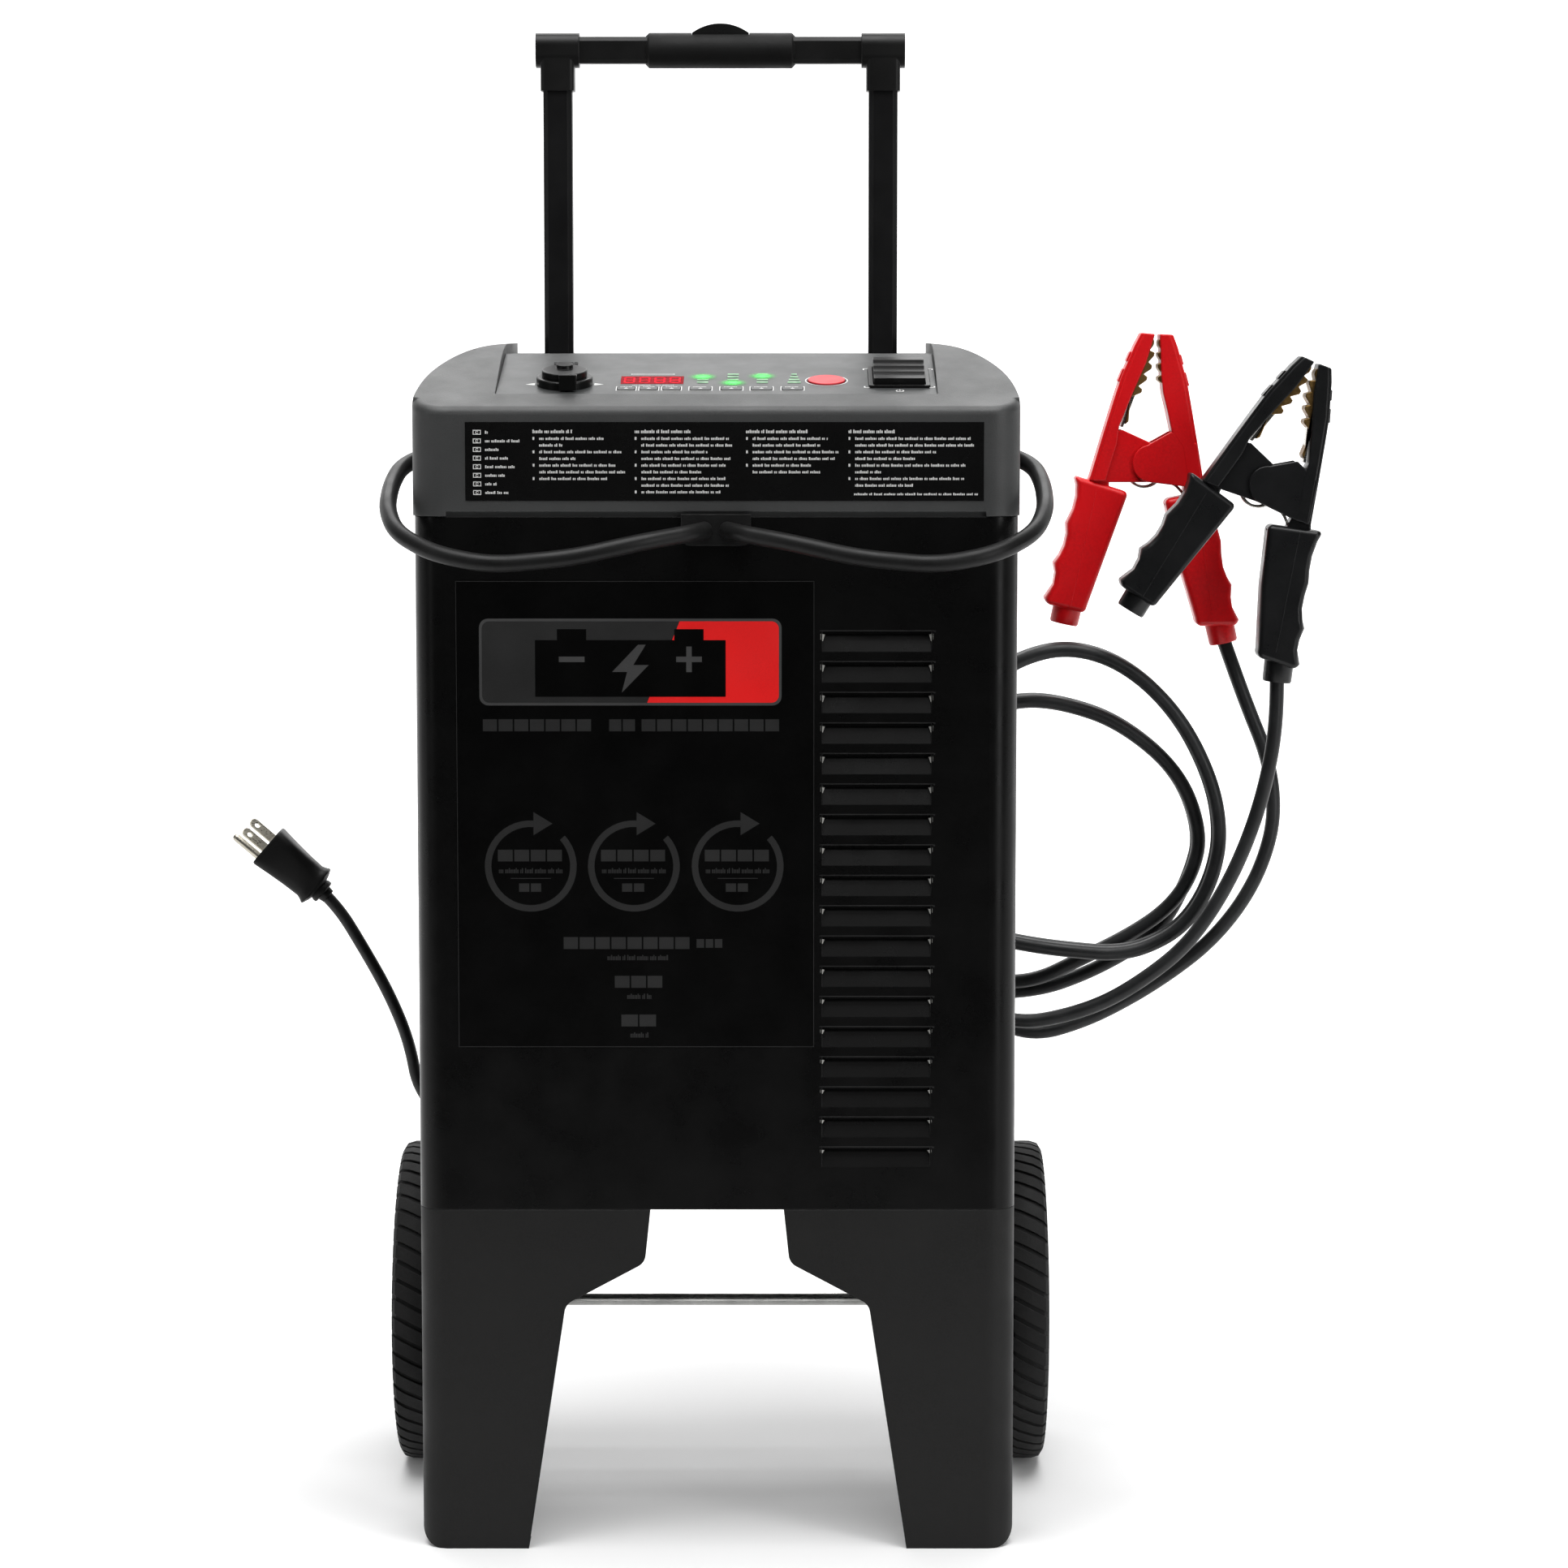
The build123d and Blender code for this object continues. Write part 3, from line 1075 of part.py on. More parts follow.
with BuildPart() as clamp_springs:
    for plane in clamps.values():
        with BuildSketch(plane):
            Circle(SPRING_R)
            Circle(SPRING_R - 3, mode=Mode.SUBTRACT)
        extrude(amount=SPRING_HALF, both=True)
clamp_springs.part.label = "clamp_springs"
export_step(clamp_springs.part, "parts/clamp_springs.step")
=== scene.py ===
from math import atan2, cos, pi, radians, sin, tau

import bmesh
import bpy
from mathutils import Matrix, Vector


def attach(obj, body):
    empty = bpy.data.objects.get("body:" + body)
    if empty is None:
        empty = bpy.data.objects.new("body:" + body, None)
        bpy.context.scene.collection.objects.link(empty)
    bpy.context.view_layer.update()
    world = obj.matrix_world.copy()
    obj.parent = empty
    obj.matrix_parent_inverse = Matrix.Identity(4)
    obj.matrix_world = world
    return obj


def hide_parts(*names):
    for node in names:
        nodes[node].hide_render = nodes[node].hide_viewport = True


# Looks of the wheeled car battery charger. Sizes in this file are in millimetres unless a name
# says otherwise. Every mesh and curve is turned into metres when its object is made.

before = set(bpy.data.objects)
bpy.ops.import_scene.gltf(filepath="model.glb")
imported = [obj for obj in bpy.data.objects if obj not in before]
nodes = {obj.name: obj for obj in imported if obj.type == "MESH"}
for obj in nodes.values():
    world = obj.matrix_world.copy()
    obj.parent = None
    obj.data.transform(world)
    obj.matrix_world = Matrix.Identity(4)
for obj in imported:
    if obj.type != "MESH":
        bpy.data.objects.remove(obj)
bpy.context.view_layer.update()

MM = 0.001
FRONT = -128.5                      # front face of the case
HOUSING_FACE = FRONT - 1
LABEL_T = 0.3
WHEEL_AXIS = (FRONT + 207, 95)  # its y and z
WHEEL_MID = 180                   # from the centre line to the middle of a tyre
CORD_D = 7.4
LEAD_D = 8.7


def at(x, distance, z):
    """A point given by its distance behind the front face."""
    return Vector((x, FRONT + distance, z))


# ---- mesh and curve helpers
def show(name, data):
    """Puts an object that holds this data in the scene."""
    shown = bpy.data.objects.new(name, data)
    bpy.context.scene.collection.objects.link(shown)
    return shown


def finish_mesh(name, mesh_data, material, place=None, sharp=35):
    """Makes an object in metres from a bmesh in millimetres."""
    if place is not None:
        mesh_data.transform(place)
    mesh_data.transform(Matrix.Scale(MM, 4))
    bmesh.ops.recalc_face_normals(mesh_data, faces=mesh_data.faces)
    mesh = bpy.data.meshes.new(name)
    mesh_data.to_mesh(mesh)
    mesh_data.free()
    for face in mesh.polygons:
        face.use_smooth = True
    mesh.set_sharp_from_angle(angle=radians(sharp))
    mesh.materials.append(material)
    return show(name, mesh)


def round_edges(piece, width, segments=3, angle=40):
    """Rounds the sharp edges of a piece; width in millimetres."""
    bevel = piece.modifiers.new("edges", "BEVEL")
    bevel.width = width * MM
    bevel.segments = segments
    bevel.limit_method = "ANGLE"
    bevel.angle_limit = radians(angle)
    bevel.harden_normals = True


def add_slab(mesh_data, outline, low, high):
    """Adds a plate with this outline between two heights."""
    bottom = [mesh_data.verts.new((x, y, low)) for x, y in outline]
    top = [mesh_data.verts.new((x, y, high)) for x, y in outline]
    mesh_data.faces.new(bottom)
    mesh_data.faces.new(top)
    for i in range(len(outline)):
        j = (i + 1) % len(outline)
        mesh_data.faces.new((bottom[i], bottom[j], top[j], top[i]))


def add_rings(mesh_data, rings, closed=False):
    """Joins rings of points into a skin; closes both ends unless the rings run in a circle."""
    loops = [[mesh_data.verts.new(point) for point in ring] for ring in rings]
    pairs = list(zip(loops, loops[1:]))
    if closed:
        pairs.append((loops[-1], loops[0]))
    for first, second in pairs:
        for i in range(len(first)):
            j = (i + 1) % len(first)
            mesh_data.faces.new((first[i], first[j], second[j], second[i]))
    if not closed:
        mesh_data.faces.new(loops[0])
        mesh_data.faces.new(loops[-1])


def oval_ring(half_x, half_y, height, power=2.6, steps=40):
    """A ring of points between an ellipse (power 2) and a rectangle (higher powers)."""
    ring = []
    for step in range(steps):
        angle = tau * step / steps
        c, s = cos(angle), sin(angle)
        ring.append((half_x * (abs(c) ** (2 / power)) * (1 if c >= 0 else -1),
                     half_y * (abs(s) ** (2 / power)) * (1 if s >= 0 else -1), height))
    return ring


def turned_piece(name, profile, steps, material, place, sharp=35):
    """A solid turned about its own z, from pairs of radius and height."""
    solid = bmesh.new()
    add_rings(solid, [oval_ring(radius, radius, height, 2, steps) for radius, height in profile])
    return finish_mesh(name, solid, material, place, sharp)


def slab_piece(name, slabs, material, place, rounding, segments=3, angle=40, sharp=35):
    """A piece of flat plates, each an outline with its low and high face, with rounded edges."""
    plates = bmesh.new()
    for outline, low, high in slabs:
        add_slab(plates, outline, low, high)
    piece = finish_mesh(name, plates, material, place, sharp)
    round_edges(piece, rounding, segments, angle)
    return piece


def settle(pieces, body="chassis"):
    """The pieces ride on this body."""
    for piece in pieces:
        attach(piece, body)


def arc(centre, radius, start, end, steps=16):
    """Points on an arc, in degrees."""
    angles = [radians(start + (end - start) * i / steps) for i in range(steps + 1)]
    return [(centre[0] + radius * cos(angle), centre[1] + radius * sin(angle)) for angle in angles]


def rounded_box(width, height, radius, steps=6):
    """Outline of a rectangle with round corners, centred."""
    outline = []
    for corner, (sx, sy) in enumerate(((1, 1), (-1, 1), (-1, -1), (1, -1))):
        centre = (sx * (width / 2 - radius), sy * (height / 2 - radius))
        outline += arc(centre, radius, 90 * corner, 90 * corner + 90, steps)
    return outline


def wire(name, points, diameter, material):
    """A round cord or wire: one smooth spline with these control points."""
    curve = bpy.data.curves.new(name, "CURVE")
    curve.dimensions = "3D"
    spline = curve.splines.new("NURBS")
    spline.points.add(len(points) - 1)
    for target, point in zip(spline.points, points):
        target.co = (*(Vector(point) * MM), 1)
    spline.order_u = 3
    spline.use_endpoint_u = True
    spline.resolution_u = 8
    curve.bevel_depth = diameter / 2 * MM
    curve.bevel_resolution = 5
    curve.use_fill_caps = True
    curve.materials.append(material)
    return show(name, curve)


# ---- material helpers
class Look:
    """A node material and the nodes that finishes are made of. A value is a socket, colour or number."""

    def __init__(self, name):
        self.material = bpy.data.materials.new(name)
        self.material.use_nodes = True
        self.tree = self.material.node_tree
        self.spot = self.tree.nodes.new("ShaderNodeTexCoord").outputs["Object"]

    def feed(self, node, values):
        """Gives a node's inputs their values."""
        for key, value in values.items():
            if isinstance(value, bpy.types.NodeSocket):
                self.tree.links.new(value, node.inputs[key])
            elif isinstance(value, tuple):
                node.inputs[key].default_value = (*value, 1)
            else:
                node.inputs[key].default_value = value

    def node(self, kind, output, values, **settings):
        """Adds a node and gives back one of its outputs."""
        node = self.tree.nodes.new(f"ShaderNode{kind}")
        for setting, value in settings.items():
            setattr(node, setting, value)
        self.feed(node, values)
        return node.outputs[output]

    def noise(self, scale, detail=3, spot=None):
        """Noise with so many features to the metre."""
        where = self.spot if spot is None else spot
        return self.node("TexNoise", "Fac", {"Vector": where, "Scale": scale, "Detail": detail,
                                             "Roughness": 0.55})

    def remap(self, value, low, high, new_low, new_high):
        """Maps one range of a value to another."""
        return self.node("MapRange", "Result", {"Value": value, "From Min": low, "From Max": high,
                                                "To Min": new_low, "To Max": new_high})

    def clouds(self, scale, detail, low, high, new_low=0, new_high=1):
        """Noise with one range mapped to another."""
        return self.remap(self.noise(scale, detail), low, high, new_low, new_high)

    def blend(self, factor, first, second):
        """A colour between two others."""
        return self.node("Mix", 2, {"Factor": factor, 6: first, 7: second}, data_type="RGBA")

    def maths(self, operation, first, second):
        """A product or a power of two values."""
        return self.node("Math", "Value", {0: first, 1: second}, operation=operation)

    def reach(self):
        """How far each point lies from the object's own origin, in metres."""
        return self.node("VectorMath", "Value", {0: self.spot}, operation="LENGTH")

    def soft_edges(self, radius):
        """The surface direction with its sharp edges rounded; radius in millimetres."""
        return self.node("Bevel", "Normal", {"Radius": radius * MM}, samples=6)

    def edge_mask(self, soft_normal):
        """1 on the very edges, 0 on the flats."""
        normals = {0: soft_normal, 1: self.node("NewGeometry", "Normal", {})}
        likeness = self.node("VectorMath", "Value", normals, operation="DOT_PRODUCT")
        return self.remap(likeness, 0.985, 0.85, 0, 1)

    def bump(self, height, depth, under=None):
        """Bumps of this depth in millimetres."""
        values = {"Distance": depth * MM, "Height": height}
        if under is not None:
            values["Normal"] = under
        return self.node("Bump", "Normal", values)

    def dress(self, values):
        """Feeds the shader and gives back the finished material."""
        self.feed(self.tree.nodes["Principled BSDF"], values)
        return self.material


def grey(level):
    """A neutral colour."""
    return (level, level, level)


def finish(name, colour, patches=0.12, roughness=0.45, spread=0.08, grain=900, depth=0.03, edge=0,
           edge_colour=None, metallic=0, specular=0.5, edge_gain=1):
    """A solid finish: blotchy colour, uneven roughness, fine grain, and rounded worn edges."""
    look = Look(name)
    darker = tuple(channel * (1 - patches) for channel in colour)
    lighter = tuple(channel * (1 + patches) for channel in colour)
    shade = look.blend(look.clouds(22, 5, 0.35, 0.65), darker, lighter)
    shade = look.blend(look.clouds(grain * 0.8, 2, 0.3, 0.7), shade, lighter)
    under = None
    if edge > 0:
        under = look.soft_edges(edge)
        worn = edge_colour or tuple(min(1, channel * 1.7 + 0.01) for channel in colour)
        patchy = look.clouds(160, 4, 0.4, 0.62, 0.15, edge_gain)
        shade = look.blend(look.maths("MULTIPLY", look.edge_mask(under), patchy), shade, worn)
    rough = look.clouds(45, 6, 0.3, 0.7, roughness - spread, roughness + spread)
    grains = look.bump(look.noise(grain, 2.5), depth, under)
    return look.dress({"Base Color": shade, "Roughness": rough, "Metallic": metallic,
                       "Specular IOR Level": specular, "Normal": grains})


def glowing(name, colour, dim_colour, strength):
    """A lit lens: bright in the middle of its pattern, dimmer round it."""
    look = Look(name)
    shade = look.blend(look.clouds(260, 3, 0.35, 0.65), dim_colour, colour)
    rough = look.clouds(500, 3, 0.3, 0.7, 0.2, 0.35)
    return look.dress({"Base Color": shade, "Emission Color": shade, "Emission Strength": strength,
                       "Roughness": rough, "IOR": 1.08, "Specular IOR Level": 0.15,
                       "Normal": look.bump(look.noise(1500), 0.01)})


def cord_jacket(name, colour, roughness):
    """Cord jacket: matte rubber with fine grain and dusty patches."""
    look = Look(name)
    dusty = tuple(channel * 1.8 + 0.004 for channel in colour)
    shade = look.blend(look.clouds(35, 5, 0.4, 0.7), colour, dusty)
    rough = look.clouds(80, 4, 0.3, 0.7, roughness - 0.08, roughness + 0.1)
    return look.dress({"Base Color": shade, "Roughness": rough, "Specular IOR Level": 0.3,
                       "Normal": look.bump(look.noise(700, 4), 0.08)})


def rolled_steel(name, colour, roughness):
    """Bare or plated steel with fine lines along X."""
    look = Look(name)
    along_x = look.node("Mapping", "Vector", {"Vector": look.spot, "Scale": Vector((0.05, 1, 1))})
    lines = look.noise(1600, 2, along_x)
    darker = tuple(channel * 0.7 for channel in colour)
    shade = look.blend(look.clouds(40, 5, 0.4, 0.7), colour, darker)
    rough = look.remap(lines, 0.3, 0.7, roughness - 0.06, roughness + 0.1)
    return look.dress({"Base Color": shade, "Roughness": rough, "Metallic": 1,
                       "Normal": look.bump(lines, 0.02, look.soft_edges(0.3))})


def wound_copper(name):
    """Enamelled copper wire wound in layers."""
    look = Look(name)
    turns = look.node("TexWave", "Fac", {"Vector": look.spot, "Scale": 160, "Distortion": 0.4},
                      bands_direction="Z")
    shade = look.blend(turns, (0.16, 0.045, 0.015), (0.42, 0.14, 0.05))
    return look.dress({"Base Color": shade, "Roughness": look.clouds(90, 3, 0.3, 0.7, 0.3, 0.5),
                       "Metallic": 0.8, "Normal": look.bump(turns, 0.4)})


# ---- materials
# Black and grey paints and plastics
case_paint = finish("case_paint", grey(0.0026), 0.3, 0.3, 0.06, 1300, 0.03, 0.7, grey(0.03),
                    specular=0.14, edge_gain=0.6)
leg_paint = finish("leg_paint", (0.0085, 0.0085, 0.0083), 0.15, 0.52, 0.06, 1200, 0.05, 0.8, grey(0.04),
                   specular=0.2, edge_gain=0.5)
rail_paint = finish("rail_paint", grey(0.009), 0.15, 0.4, 0.07, 900, 0.05, 0.5, grey(0.05), specular=0.18)
handle_paint = finish("handle_paint", (0.005, 0.005, 0.0053), 0.15, 0.38, 0.06, 1300, 0.025, 0.4,
                      grey(0.04), specular=0.25)
housing_plastic = finish("housing_plastic", (0.039, 0.04, 0.04), 0.1, 0.5, 0.06, 1500, 0.09, 0.8, grey(0.1),
                         specular=0.45, edge_gain=0.5)
panel_plastic = finish("panel_plastic", (0.035, 0.037, 0.037), 0.08, 0.38, 0.05, 1700, 0.04, 0.4,
                       specular=0.3)
key_plastic = finish("key_plastic", (0.04, 0.042, 0.043), 0.1, 0.4, 0.05, 1500, 0.02, 0.3, specular=0.3)
switch_black = finish("switch_black", grey(0.007), 0.15, 0.3, 0.06, 1100, 0.02, 0.4, grey(0.03),
                      specular=0.25)
port_plastic = finish("port_plastic", grey(0.006), 0.15, 0.3, 0.06, 1000, 0.02, 0.4, grey(0.05),
                      specular=0.25)
handle_plastic = finish("handle_plastic", grey(0.0055), 0.15, 0.4, 0.06, 1400, 0.04, 0.7, grey(0.03),
                        specular=0.25)
rim_plastic = finish("rim_plastic", grey(0.02), 0.12, 0.45, 0.06, 1200, 0.05, 0.5)
plug_plastic = finish("plug_plastic", grey(0.0035), 0.2, 0.42, 0.07, 900, 0.04, 0.4, grey(0.02),
                      specular=0.2)
black_plastic = finish("black_plastic", (0.006, 0.0062, 0.0066), 0.2, 0.32, 0.07, 900, 0.03, 0.5,
                       grey(0.03), specular=0.28, edge_gain=0.8)

# Rubber
tyre_rubber = finish("tyre_rubber", grey(0.008), 0.25, 0.68, 0.08, 700, 0.12, 0.5, grey(0.03),
                     specular=0.25)
grip_rubber = finish("grip_rubber", grey(0.006), 0.2, 0.6, 0.07, 1100, 0.09, 0.7, grey(0.02), specular=0.15)
cord_rubber = cord_jacket("cord_rubber", (0.0028, 0.0028, 0.003), 0.36)
lead_rubber = cord_jacket("lead_rubber", (0.011, 0.0115, 0.012), 0.4)

# Red plastics and lit lenses
red_plastic = finish("red_plastic", (0.6, 0.005, 0.008), 0.12, 0.34, 0.07, 900, 0.03, 0.5,
                     (0.75, 0.03, 0.03), specular=0.3, edge_gain=0.6)
start_red = finish("start_red", (0.56, 0.035, 0.045), 0.08, 0.4, 0.05, 1500, 0.02, 0.4, specular=0.2)
display_window = glowing("display_window", (0.2, 0.001, 0.005), (0.13, 0, 0.003), 0.6)
display_digit = glowing("display_digit", (0.7, 0.004, 0.02), (0.5, 0.002, 0.012), 0.9)
led_lens = glowing("led_lens", (0.3, 0.46, 0.31), (0.2, 0.34, 0.22), 0.3)

# Metals and what is inside the case
blade_metal = rolled_steel("blade_metal", (0.5, 0.47, 0.4), 0.3)
zinc_steel = rolled_steel("zinc_steel", (0.62, 0.62, 0.6), 0.28)
spring_steel = rolled_steel("spring_steel", (0.55, 0.53, 0.48), 0.25)
core_iron = rolled_steel("core_iron", (0.2, 0.19, 0.18), 0.45)
sink_aluminium = rolled_steel("sink_aluminium", (0.75, 0.76, 0.77), 0.35)
brass = finish("brass", (0.2, 0.12, 0.04), 0.4, 0.42, 0.1, 600, 0.08, 0.4, (0.5, 0.34, 0.14), metallic=0.9)
winding_copper = wound_copper("winding_copper")
board_green = finish("board_green", (0.01, 0.09, 0.03), 0.2, 0.35, 0.05, 500, 0.02, 0.2)

# Films, inks, and the painted highlights on the louvers' edges
label_film = finish("label_film", grey(0.004), 0.2, 0.25, 0.06, 500, 0.012, specular=0.2)
decal_film = finish("decal_film", grey(0.0012), 0.3, 0.36, 0.05, 600, 0.01, specular=0.1)
white_ink = finish("white_ink", (0.62, 0.62, 0.61), 0.06, 0.5, 0.05, 2000, 0.01)
grey_ink = finish("grey_ink", grey(0.05), 0.1, 0.45, 0.05, 2000, 0.01, specular=0.3)
dark_ink = finish("dark_ink", grey(0.017), 0.1, 0.45, 0.05, 2000, 0.01, specular=0.3)
red_ink = finish("red_ink", (0.78, 0.012, 0.012), 0.06, 0.42, 0.05, 2000, 0.01, specular=0.35)
# Lighter grey for the thin painted highlight along each louver's top edge.
slit_highlight = finish("slit_highlight", grey(0.014), 0.5, 0.35, 0.1, 300, 0.02, specular=0.3)
# Light grey for the painted glints on the louvers' corners.
painted_glint = finish("painted_glint", (0.3, 0.3, 0.28), 0.3, 0.3, 0.1, 900, 0.02)

node_finishes = {
    "case_wrap": case_paint, "rear_panel": case_paint, "base_tray": case_paint, "legs": leg_paint,
    "axle": zinc_steel, "axle_caps": zinc_steel, "left_rim": rim_plastic, "right_rim": rim_plastic,
    "rail_bracket": rail_paint, "left_rail": rail_paint, "right_rail": rail_paint,
    "top_housing": housing_plastic, "control_panel": panel_plastic, "display_window": display_window,
    "led_bars": led_lens, "start_button": start_red, "switch_bezel": switch_black,
    "power_rocker": switch_black, "port_flange": port_plastic, "port_cap": port_plastic,
    "instruction_label": label_film, "front_decal": decal_film, "guide_tubes": zinc_steel,
    "handle_tubes": handle_paint, "handle_crossbar": handle_plastic, "handle_grip": grip_rubber,
    "release_button": switch_black, "fan_frame": switch_black, "fan_rotor": switch_black,
    "transformer_core": core_iron, "transformer_windings": winding_copper, "heat_sink": sink_aluminium,
    "control_board": board_green, "case_screws": zinc_steel, "cord_glands": switch_black,
    "plug_blades": blade_metal, "clamp_pins": spring_steel, "left_tyre": tyre_rubber,
    "right_tyre": tyre_rubber,
}
for number in range(1, 8):
    node_finishes[f"key_{number}"] = key_plastic
for node_name, material in node_finishes.items():
    slots = nodes[node_name].data.materials
    slots.clear()
    slots.append(material)

# ---- camera
CAMERA_SPOT = (0.037, -2.4785, 0.6756)   # in metres
CAMERA_TILT = 84                        # 90 would look level
camera_data = bpy.data.cameras.new("camera")
camera_data.lens = 99.15
camera_data.sensor_width = 36
camera = show("camera", camera_data)
camera.location = CAMERA_SPOT
camera.rotation_euler = (radians(CAMERA_TILT), 0, 0)
bpy.context.scene.camera = camera

# ---- mains cord
mains_entry = [at(-26, 216, 235), at(-26, 262, 235), at(-26, 286, 259), at(-24, 286, 293), at(-21, 278, 326)]
mains_tail = [at(-103, 239, 322), at(-101, 241, 286), at(-101, 245, 250), at(-104, 249, 214),
              at(-128, 250, 189.5), at(-162, 250, 189.5), at(-186, 250, 213.5), at(-191, 250, 244),
              at(-203, 250, 274), at(-219, 250, 303), at(-235, 250, 329.5), at(-248, 250, 341)]
MAINS_COIL = (-62, 330)
MAINS_COIL_R = 41.6
MAINS_TURNS = 4.5
MAINS_COIL_BACK = (278, 239)   # how far back the first and the last turn lie
POINTS_PER_TURN = 16


def coil_points(centre, radius, turns, start_back, end_back):
    """Control points of a neat coil that starts on its right side and climbs."""
    steps = int(turns * POINTS_PER_TURN)
    points = []
    for step in range(1, steps):
        angle = tau * step / POINTS_PER_TURN
        distance = start_back + (end_back - start_back) * step / steps
        points.append(at(centre[0] + radius * cos(angle), distance, centre[1] + radius * sin(angle)))
    return points


mains_coil = coil_points(MAINS_COIL, MAINS_COIL_R, MAINS_TURNS, *MAINS_COIL_BACK)
mains_cord = wire("mains_cord_soft", mains_entry + mains_coil + mains_tail, CORD_D, cord_rubber)

# ---- output leads
# One turn of each loose loop, as (x, z) from the bottom left round the right to the top left.
loop_a = [(155, 311), (180, 305), (207, 301), (243, 298), (269, 308), (285, 322), (297, 345), (302, 372),
          (296, 405), (276, 444), (245, 474), (211, 486), (179, 479), (152, 459), (139, 425)]
loop_b = [(217, 292), (249, 308), (272, 324), (286, 344), (292, 370), (278, 408), (242, 438), (207, 450),
          (180, 452), (151, 443)]


def loop_points(loop, distance):
    """Control points of a loose loop at one distance behind the front face."""
    return [at(x, distance, z) for x, z in loop]


red_route = [at(70, 216, 210), at(70, 262, 210), at(71, 288, 233), at(80, 291, 263), at(104, 288, 284),
             at(136, 283, 286), at(168, 277, 277), at(192, 272, 279)]
red_route += loop_points(loop_b, 268)
red_route += [at(129, 268, 418), at(122, 268, 385), at(122, 267, 352), at(134, 263, 326)]
red_route += loop_points(loop_a, 258)
red_route += [at(136, 261, 385), at(134, 267, 350), at(136, 270, 315), at(144, 269, 283), at(162, 264, 257),
              at(189, 257, 247), at(220, 257, 256), at(248, 258, 270), at(273, 258, 286), at(296, 259, 304),
              at(315, 262, 326), at(329, 266, 351), at(337, 270, 381), at(333, 273, 415),
              at(318.6, 273, 449.2), at(301.5, 273, 496.2), at(287.3, 273, 534)]

black_route = [at(95, 216, 210), at(95, 262, 210), at(97, 287, 228), at(110, 294, 254), at(135, 291, 268),
               at(165, 286, 269), at(195, 281, 272), at(220, 279, 281), at(247, 278, 295), at(270, 278, 312)]
black_route += loop_points(loop_b[3:], 278)
black_route += [at(121, 276, 423), at(109, 269, 390), at(108, 261, 357), at(121, 255, 328)]
black_route += loop_points(loop_a, 248)
black_route += [at(131, 247, 385), at(126, 246, 350), at(127, 244, 314), at(138, 242, 284), at(157, 240, 264),
                at(182, 237, 258), at(208, 235, 263), at(233, 234, 272), at(257, 234, 287), at(278, 234, 304),
                at(294, 234, 325), at(308, 234, 350), at(319, 234, 377), at(327, 232, 406), at(332, 230, 437),
                at(332.6, 230, 475), at(331.5, 230, 516.6)]
red_lead = wire("red_lead_soft", red_route, LEAD_D, lead_rubber)
black_lead = wire("black_lead_soft", black_route, LEAD_D, lead_rubber)

# ---- stage and light
def studio_paper():
    """Matte pale paper that glows a little more the further off it is, so that its far part is white."""
    look = Look("studio_paper")
    shade = look.blend(look.clouds(1.5, 3, 0.3, 0.7), grey(0.86), grey(0.9))
    far_glow = look.remap(look.reach(), 0.3, 3.2, 0.04, 0.95)
    return look.dress({"Base Color": shade, "Roughness": 0.85, "Specular IOR Level": 0.1,
                       "Emission Color": grey(1), "Emission Strength": far_glow})


def cyclorama():
    """A pale floor that curves up into a pale wall far behind."""
    sheet = bmesh.new()
    half_width = 9000
    front_edge = -800
    bend = 2500
    wall = 6000
    profile = [(front_edge, 0), (wall - bend, 0)]
    profile += arc((wall - bend, bend), bend, -90, 0, 24)[1:]
    profile.append((wall, half_width))
    rows = [[sheet.verts.new((x, y, z)) for x in (-half_width, half_width)] for y, z in profile]
    for first, second in zip(rows, rows[1:]):
        sheet.faces.new((first[0], first[1], second[1], second[0]))
    floor = finish_mesh("studio_floor", sheet, studio_paper(), sharp=80)


def soft_box(name, spot, target, size, power):
    """A square or oblong studio light aimed at a point, all in metres."""
    data = bpy.data.lights.new(name, "AREA")
    data.shape = "RECTANGLE"
    data.size, data.size_y = size
    data.energy = power
    lamp = show(name, data)
    lamp.location = spot
    lamp.rotation_euler = (Vector(target) - Vector(spot)).to_track_quat("-Z", "Y").to_euler()


cyclorama()
soft_box("top_light", (0, -0.7, 3), (0, 0.2, 0), (2.6, 2), 105)
soft_box("back_light", (0, 2.2, 3.2), (0, 0.6, 0), (3.2, 1.6), 60)
soft_box("left_light", (-2.6, -1.9, 1.3), (0, 0, 0.5), (0.5, 2.2), 6)
soft_box("right_light", (2.2, -2.1, 1), (0.1, 0, 0.45), (0.8, 2.2), 24)
soft_box("front_fill", (0.3, -3.6, 3.4), (0, 0, 0.5), (1.6, 0.8), 8)

# The room is dark to the surfaces that reflect it, and plain white beyond the paper's front edge.
ROOM_LIGHT = 0.05
world = bpy.data.worlds.new("studio_world")
world.use_nodes = True
room = world.node_tree.nodes
room["Background"].inputs["Color"].default_value = (0.98, 0.99, 1, 1)
strength = room.new("ShaderNodeMapRange")
strength.inputs["To Min"].default_value = ROOM_LIGHT
world.node_tree.links.new(room.new("ShaderNodeLightPath").outputs["Is Camera Ray"], strength.inputs["Value"])
world.node_tree.links.new(strength.outputs["Result"], room["Background"].inputs["Strength"])
bpy.context.scene.world = world
bpy.context.scene.view_settings.view_transform = "Standard"

# ---- printed detail
def print_flat(name, shapes, place, material, body="chassis"):
    """Thin printed shapes, each an outline in the plane of place."""
    ink = bmesh.new()
    for outline in shapes:
        ink.faces.new([ink.verts.new((x, y, 0)) for x, y in outline])
    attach(finish_mesh(name, ink, material, place), body)


def bar(left, bottom, width, height):
    """Outline of a small printed bar."""
    right, top = left + width, bottom + height
    return [(left, bottom), (right, bottom), (right, top), (left, top)]


def ring_band(centre, radius, width, start, end, steps=40):
    """Outline of an open ring."""
    outer = arc(centre, radius, start, end, steps)
    inner = arc(centre, radius - width, end, start, steps)
    return outer + inner


